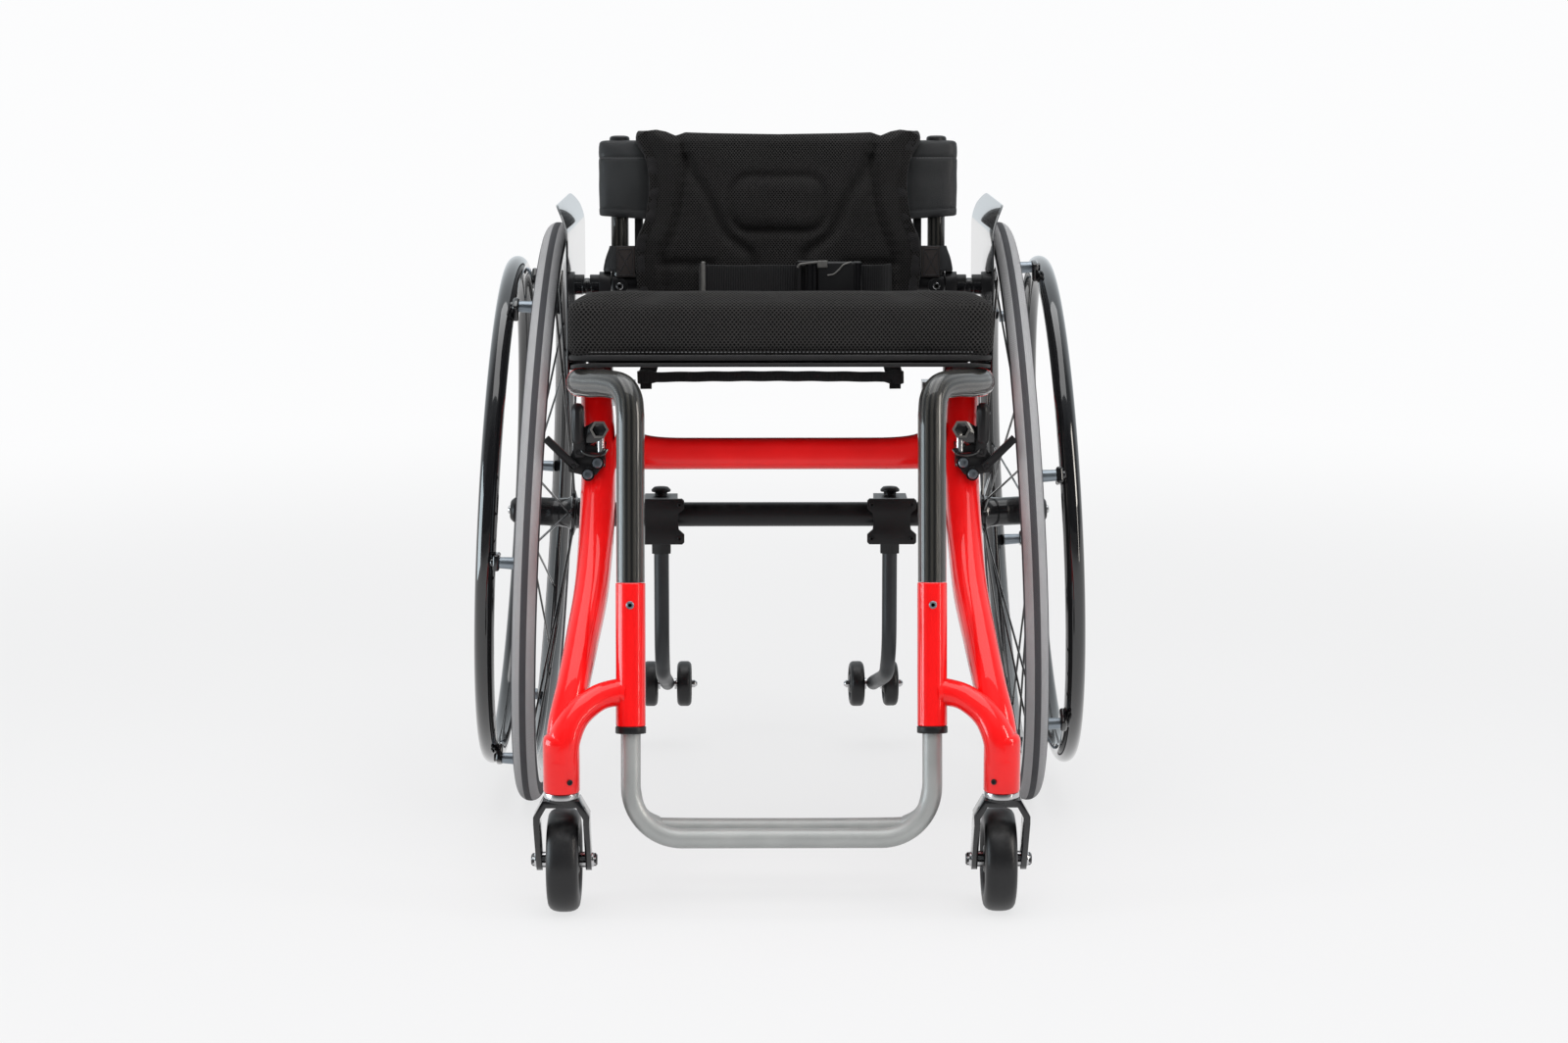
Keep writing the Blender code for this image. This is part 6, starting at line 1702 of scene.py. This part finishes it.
# %% Lap belt
BELT_Z0, BELT_Z1, BELT_Y = 0.5122, 0.5502, HUB_Y + 0.0110


def upright_strip(bm, path, thickness, low, high, wave=0.0):
    """Webbing on edge along a plan path: a swept flat section."""
    middle = (low + high) / 2
    points = smooth_path([(x, y, middle) for x, y in path], 90)
    stations = [(Vector((p[0], p[1], p[2] + wave * math.sin(i * 0.21))), (high - low) / 2, thickness / 2)
        for i, p in enumerate(points)]
    sweep_part(bm, stations, 20, 6.0, (0, 0, 1))


bm = start_mesh()
route = ((-0.0790, BELT_Y + 0.0240), (-0.0802, BELT_Y + 0.0130), (-0.0770, BELT_Y + 0.0040),
    (-0.0690, BELT_Y), (-0.0250, BELT_Y - 0.0012), (0.0160, BELT_Y), (0.0850, BELT_Y),
    (0.0950, BELT_Y + 0.0020), (0.1060, BELT_Y + 0.0080), (0.1160, BELT_Y + 0.0200))
upright_strip(bm, route, 0.0024, BELT_Z0, BELT_Z1, 0.0003)
webbing = make_piece(bm, "lap_webbing", RIBBED_WEBBING, 50.0, "belt_webbing")
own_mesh(webbing)

# %% Buckle and slider
BUCKLE_Y = BELT_Y - 0.0022 - 0.0055
BUCKLE = Matrix.Translation((0, BUCKLE_Y, BELT_Z0 + 0.0222))
bm = start_mesh()
blocks = [((0.0380, 0.0108, 0.0400), (0.0590, 0.0, 0.0), 0.0026),
    ((0.0100, 0.0090, 0.0408), (0.0800, 0.0006, 0.0), 0.0026)]
blocks += [((0.0048, 0.0086, 0.0384), (x, 0.0004, 0.0), 0.0020) for x in (0.0210, 0.0300, 0.0365)]
for size, middle, bevel in blocks:
    box_part(bm, size, BUCKLE @ Matrix.Translation(middle), bevel, 4)
for z in (-0.0185, 0.0190):
    box_part(bm, (0.0220, 0.0080, 0.0040), BUCKLE @ Matrix.Translation((0.0300, 0, z)), 0.0014, 3)
make_piece(bm, "buckle_body", PLASTIC, 40.0, "belt_buckle")
# The ridges, the top bar and the tab are pale grey: painted highlights on the buckle's edges.
ridge = mm((50, -5.6, 6.2), (56, -5.7, 7.4), (61.5, -5.7, 11.8), (66, -5.6, 16.8), (74, -4.6, 19.6))
top_bar = mm((19.5, -4.6, 14), (21.5, -5, 17.2), (29, -5.2, 18.4), (40, -5.2, 19.6))
bm = start_mesh()
tube_part(bm, [BUCKLE @ Vector(p) for p in smooth_path(ridge, 30)], 0.0009, 12)
sweep_part(bm, [(BUCKLE @ Vector(p), 0.0013, 0.0010) for p in smooth_path(top_bar, 24)], 12)
box_part(bm, (0.0104, 0.0024, 0.0076), BUCKLE @ Matrix.Translation((0.0448, -0.0054, 0.0176)), 0.0010, 3)
make_piece(bm, "buckle_edges", PAINTED_HIGHLIGHT_GREY, 40.0)
bm = start_mesh()
for x, y, top in mm((32.2, -3, 17.6), (81.5, -2.2, 18.4)):
    rod_part(bm, (x, y, -0.0190), (x, y, top), 0.0034, 24, None, BUCKLE)
make_piece(bm, "buckle_bars", GLOSS, 40.0, slot="black_plastic")
# The slider bar is pale grey too: a painted highlight on the bar.
bm = start_mesh()
at = Matrix.Translation((-0.0770, BELT_Y + 0.0012, BELT_Z0 + 0.0208))
box_part(bm, (0.0046, 0.0060, 0.0420), at, 0.0021, 4)
slider = make_piece(bm, "belt_slider", PAINTED_HIGHLIGHT_GREY, 40.0)
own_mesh(slider)

# %% [markdown]
# Each brake is a clamp on the side frame with a domed lever and a bar whose square end
# presses on the tyre. The CAD solids have these outlines, so their corners are softened.
# The clamp's flat six-sided top gives way to what it stands for: a hollow six-sided
# tube, cut off to face forward, on a bright pillar with a curved band below it. Its lip
# is pale grey, a painted highlight round the mouth's edge. Socket screws over dark
# washers hold the plate.

# %% Brakes
BRAKE_Y = HUB_Y - 0.2790
BRAKE_SCREWS = mm((171, 388), (180, 377.2))
HOOK_LINE = mm((187.2, 2, 411), (187.8, -3, 404), (183.5, -6.8, 398.5), (175, -8.4, 396.2),
    (166.8, -8.4, 397.2), (163.2, -6, 400.5))


def hollow_hexagon(bm, mouth, back):
    """A six-sided tube from its floor, over its lip, to its end, which lies at back."""
    made, edges = circle_part(bm, 6, 0.0060)
    bmesh.ops.translate(bm, vec=back * 0.35, verts=made)
    bmesh.ops.edgeloop_fill(bm, edges=edges)
    for radius, share, last in ((0.0064, 0.0, 0.35), (0.0070, -0.03, 0.0), (0.0086, -0.03, -0.03),
            (0.0090, 0.02, -0.03), (0.0086, 0.92, 0.02), (0.0074, 1.0, 0.92)):
        new, edges = grow_ring(bm, edges)
        wide = (new[0].co - back * last).length
        bmesh.ops.transform(bm, matrix=Matrix.Translation(back * share) @ Matrix.Scale(radius / wide, 4)
            @ Matrix.Translation(-back * last), verts=new)
        made += new
    bmesh.ops.edgeloop_fill(bm, edges=edges)
    bmesh.ops.transform(bm, matrix=mouth, verts=made)


for label, side in SIDES:
    refine_node("brake_clamp_" + label, BLACK, 0.0007, cut_above=0.4052)
    refine_node("brake_handle_" + label, BLACK, 0.0006)
    refine_node("brake_shoe_" + label, BLACK, 0.0006)
    washers, screws = start_mesh(), start_mesh()
    forwards = Vector((side * 0.12, -1, 0.15))
    for x, z in BRAKE_SCREWS:
        at = place_at((side * x, BRAKE_Y - 0.0078, z), forwards, (0, 0, 1))
        rod_part(washers, at @ Vector((0, 0, -0.0012)), at @ Vector((0, 0, 0.0012)), 0.0062, 28)
        at = place_at((side * (x + 0.0001), BRAKE_Y - 0.0090, z + 0.0002), forwards, (0, 0, 1))
        screw_part(screws, at, 0.0046, 0.0036)
    make_piece(washers, "brake_washers_" + label, GLOSS, 30.0)
    make_piece(screws, "brake_screws_" + label, BLUE_STEEL, 30.0)
    bm = start_mesh()
    pillar = Vector((side * 0.1684, BRAKE_Y - 0.0040, 0.3960))
    rod_part(bm, pillar, pillar + Vector((0, 0, 0.0170)), 0.0037, 28)
    make_piece(bm, "brake_pillar_" + label, STEEL, 30.0)
    bm = start_mesh()
    mouth = place_at((side * 0.1698, BRAKE_Y - 0.0105, 0.4196), (side * 0.12, -1, 0.10), (0, 0, 1))
    back = mouth.to_3x3().inverted() @ Vector((side * 0.0150, 0.0075, -0.0085))
    hollow_hexagon(bm, mouth, back)
    hook = smooth_path([(side * x, BRAKE_Y + y, z) for x, y, z in HOOK_LINE], 30)
    sweep_part(bm, [(Vector(p), 0.0034, 0.0014) for p in hook], 20, 4.0, (0, 1, 0.4))
    make_piece(bm, "brake_hook_" + label, GLOSS, 30.0)
    # The lip ring is pale grey: a painted highlight round the mouth's edge.
    lip = mm((6.7, -0.4), (6.7, 0.7), (9, 0.7), (9, -0.4))
    at = mouth @ Matrix.Translation(back * -0.03) @ Matrix.Rotation(math.pi / 6, 4, "Z")
    turned_piece("brake_lip_" + label, PAINTED_HIGHLIGHT_GREY, 30.0, lip, 6, at, closed=True, slot="black_anodised")

# %% [markdown]
# The anti-tip wheels hang on two bent tubes behind the chair. A clamp holds each tube
# to the axle tube, and a domed plug closes its socket.

# %% Anti-tip clamps, tubes and wheels
TIP_X = {"left": 0.1162, "right": 0.1222}
TIP_YAW = {"left": math.radians(3.0), "right": 0.0}
TIP_Y, TIP_REACH, TIP_AXLE_Z = HUB_Y + 0.0330, 0.1850, 0.0690
TIP_TUBE_R, TIP_WHEEL_X, TIP_CLAMP_Z = 0.0078, 0.01875, 0.2890
for label, side in SIDES:
    refine_node("anti_tip_clamp_" + label, BLACK, 0.0009)
    x0 = side * TIP_X[label]
    bm = start_mesh()
    for x in (-0.0205, 0.0205):
        for z in (-0.0176, 0.0176):
            at = place_at((x0 + x, HUB_Y - 0.0190, TIP_CLAMP_Z + z), (0, -1, 0), (0, 0, 1))
            screw_part(bm, at, 0.0024, 0.0014, 16)
    make_piece(bm, "clamp_screws_" + label, BLACK, 30.0)

    swivel = Matrix.Translation((x0, TIP_Y, 0.0)) @ Matrix.Rotation(side * TIP_YAW[label], 4, "Z")
    arm_body = body_of("anti_tip_tube_" + label)
    path = smooth_path(((0, 0, 0.2000), (0, 0.0015, 0.1550), (0, 0.0160, 0.1270), (0, 0.0450, 0.1080),
        (0, TIP_REACH - 0.0120, TIP_AXLE_Z + 0.0040), (0, TIP_REACH, TIP_AXLE_Z)), 60)
    route = [swivel @ Vector((0, 0, 0.2990))] + [swivel @ Vector(p) for p in path]
    bm = start_mesh()
    tube_part(bm, route, TIP_TUBE_R)
    make_piece(bm, "tip_tube_" + label, DARK_TUBE, 40.0, "anti_tip_tube_" + label, body=arm_body)

    axle = swivel @ place_at((0, TIP_REACH, TIP_AXLE_Z), (1, 0, 0), (0, 0, 1))
    bm = start_mesh()
    rod_part(bm, axle @ Vector((0, 0, -0.0275)), axle @ Vector((0, 0, 0.0275)), 0.0030, 20)
    for out in (1.0, -1.0):
        end = axle @ place_at((0, 0, out * 0.0270), (0, 0, out), (1, 0, 0))
        rod_part(bm, end @ Vector((0, 0, 0)), end @ Vector((0, 0, 0.0036)), 0.0044, 6)
        spin_part(bm, mm((0, 6.2), (1.8, 6), (3, 5), (3.6, 3.6), (0, 3.6)), 24, end)
        collar = axle @ place_at((0, 0, out * 0.0078), (0, 0, out), (1, 0, 0))
        spin_part(bm, mm((0, 2.2), (5.6, 2.2), (6.2, 1.8), (6.2, 0), (0, 0)), 28, collar)
    make_piece(bm, "tip_bolt_" + label, STEEL, 30.0, body=arm_body)
    for which, offset in (("inner", -side * TIP_WHEEL_X), ("outer", side * TIP_WHEEL_X)):
        node = f"anti_tip_wheel_{which}_{label}"
        hub = swivel @ place_at((offset, TIP_REACH, TIP_AXLE_Z), (1, 0, 0), (0, 0, 1))
        half = mm((25, 0), (25, 3.4), (24.6, 5), (23.6, 6.4), (22, 7.4), (20.6, 7.8), (19, 7.6), (18, 6.6),
            (17.2, 5.4), (11.2, 5.4), (10.4, 6.6), (9.6, 8), (5.8, 8.2), (5, 7.8), (3.3, 7.8))
        turned_piece(f"tip_wheel_{which}_{label}", URETHANE, 32.0, mirrored(half), 64, hub, node, True,
            body=body_of(node))

# %% [markdown]
# Small screws close the joints: one through each sleeve into the footrest's leg, and
# one low on each caster housing.

# %% Frame screws
for label, side in SIDES:
    bm = start_mesh()
    front = hanger_point(0.2810, side) + Vector((0, -SLEEVE_R + 0.0006, 0))
    screw_part(bm, place_at(front, (0, -1, 0), (0, 0, 1)), 0.0036, 0.0020)
    make_piece(bm, "sleeve_screw_" + label, BLUE_STEEL, 30.0)
    bm = start_mesh()
    at = place_at((side * (STEM_X - 0.0080), STEM_Y - 0.0142, 0.1290), (-side * 0.5, -0.87, 0), (0, 0, 1))
    screw_part(bm, at, 0.0026, 0.0014, 16)
    make_piece(bm, "housing_screw_" + label, BLACK, 30.0)
print("fittings done")
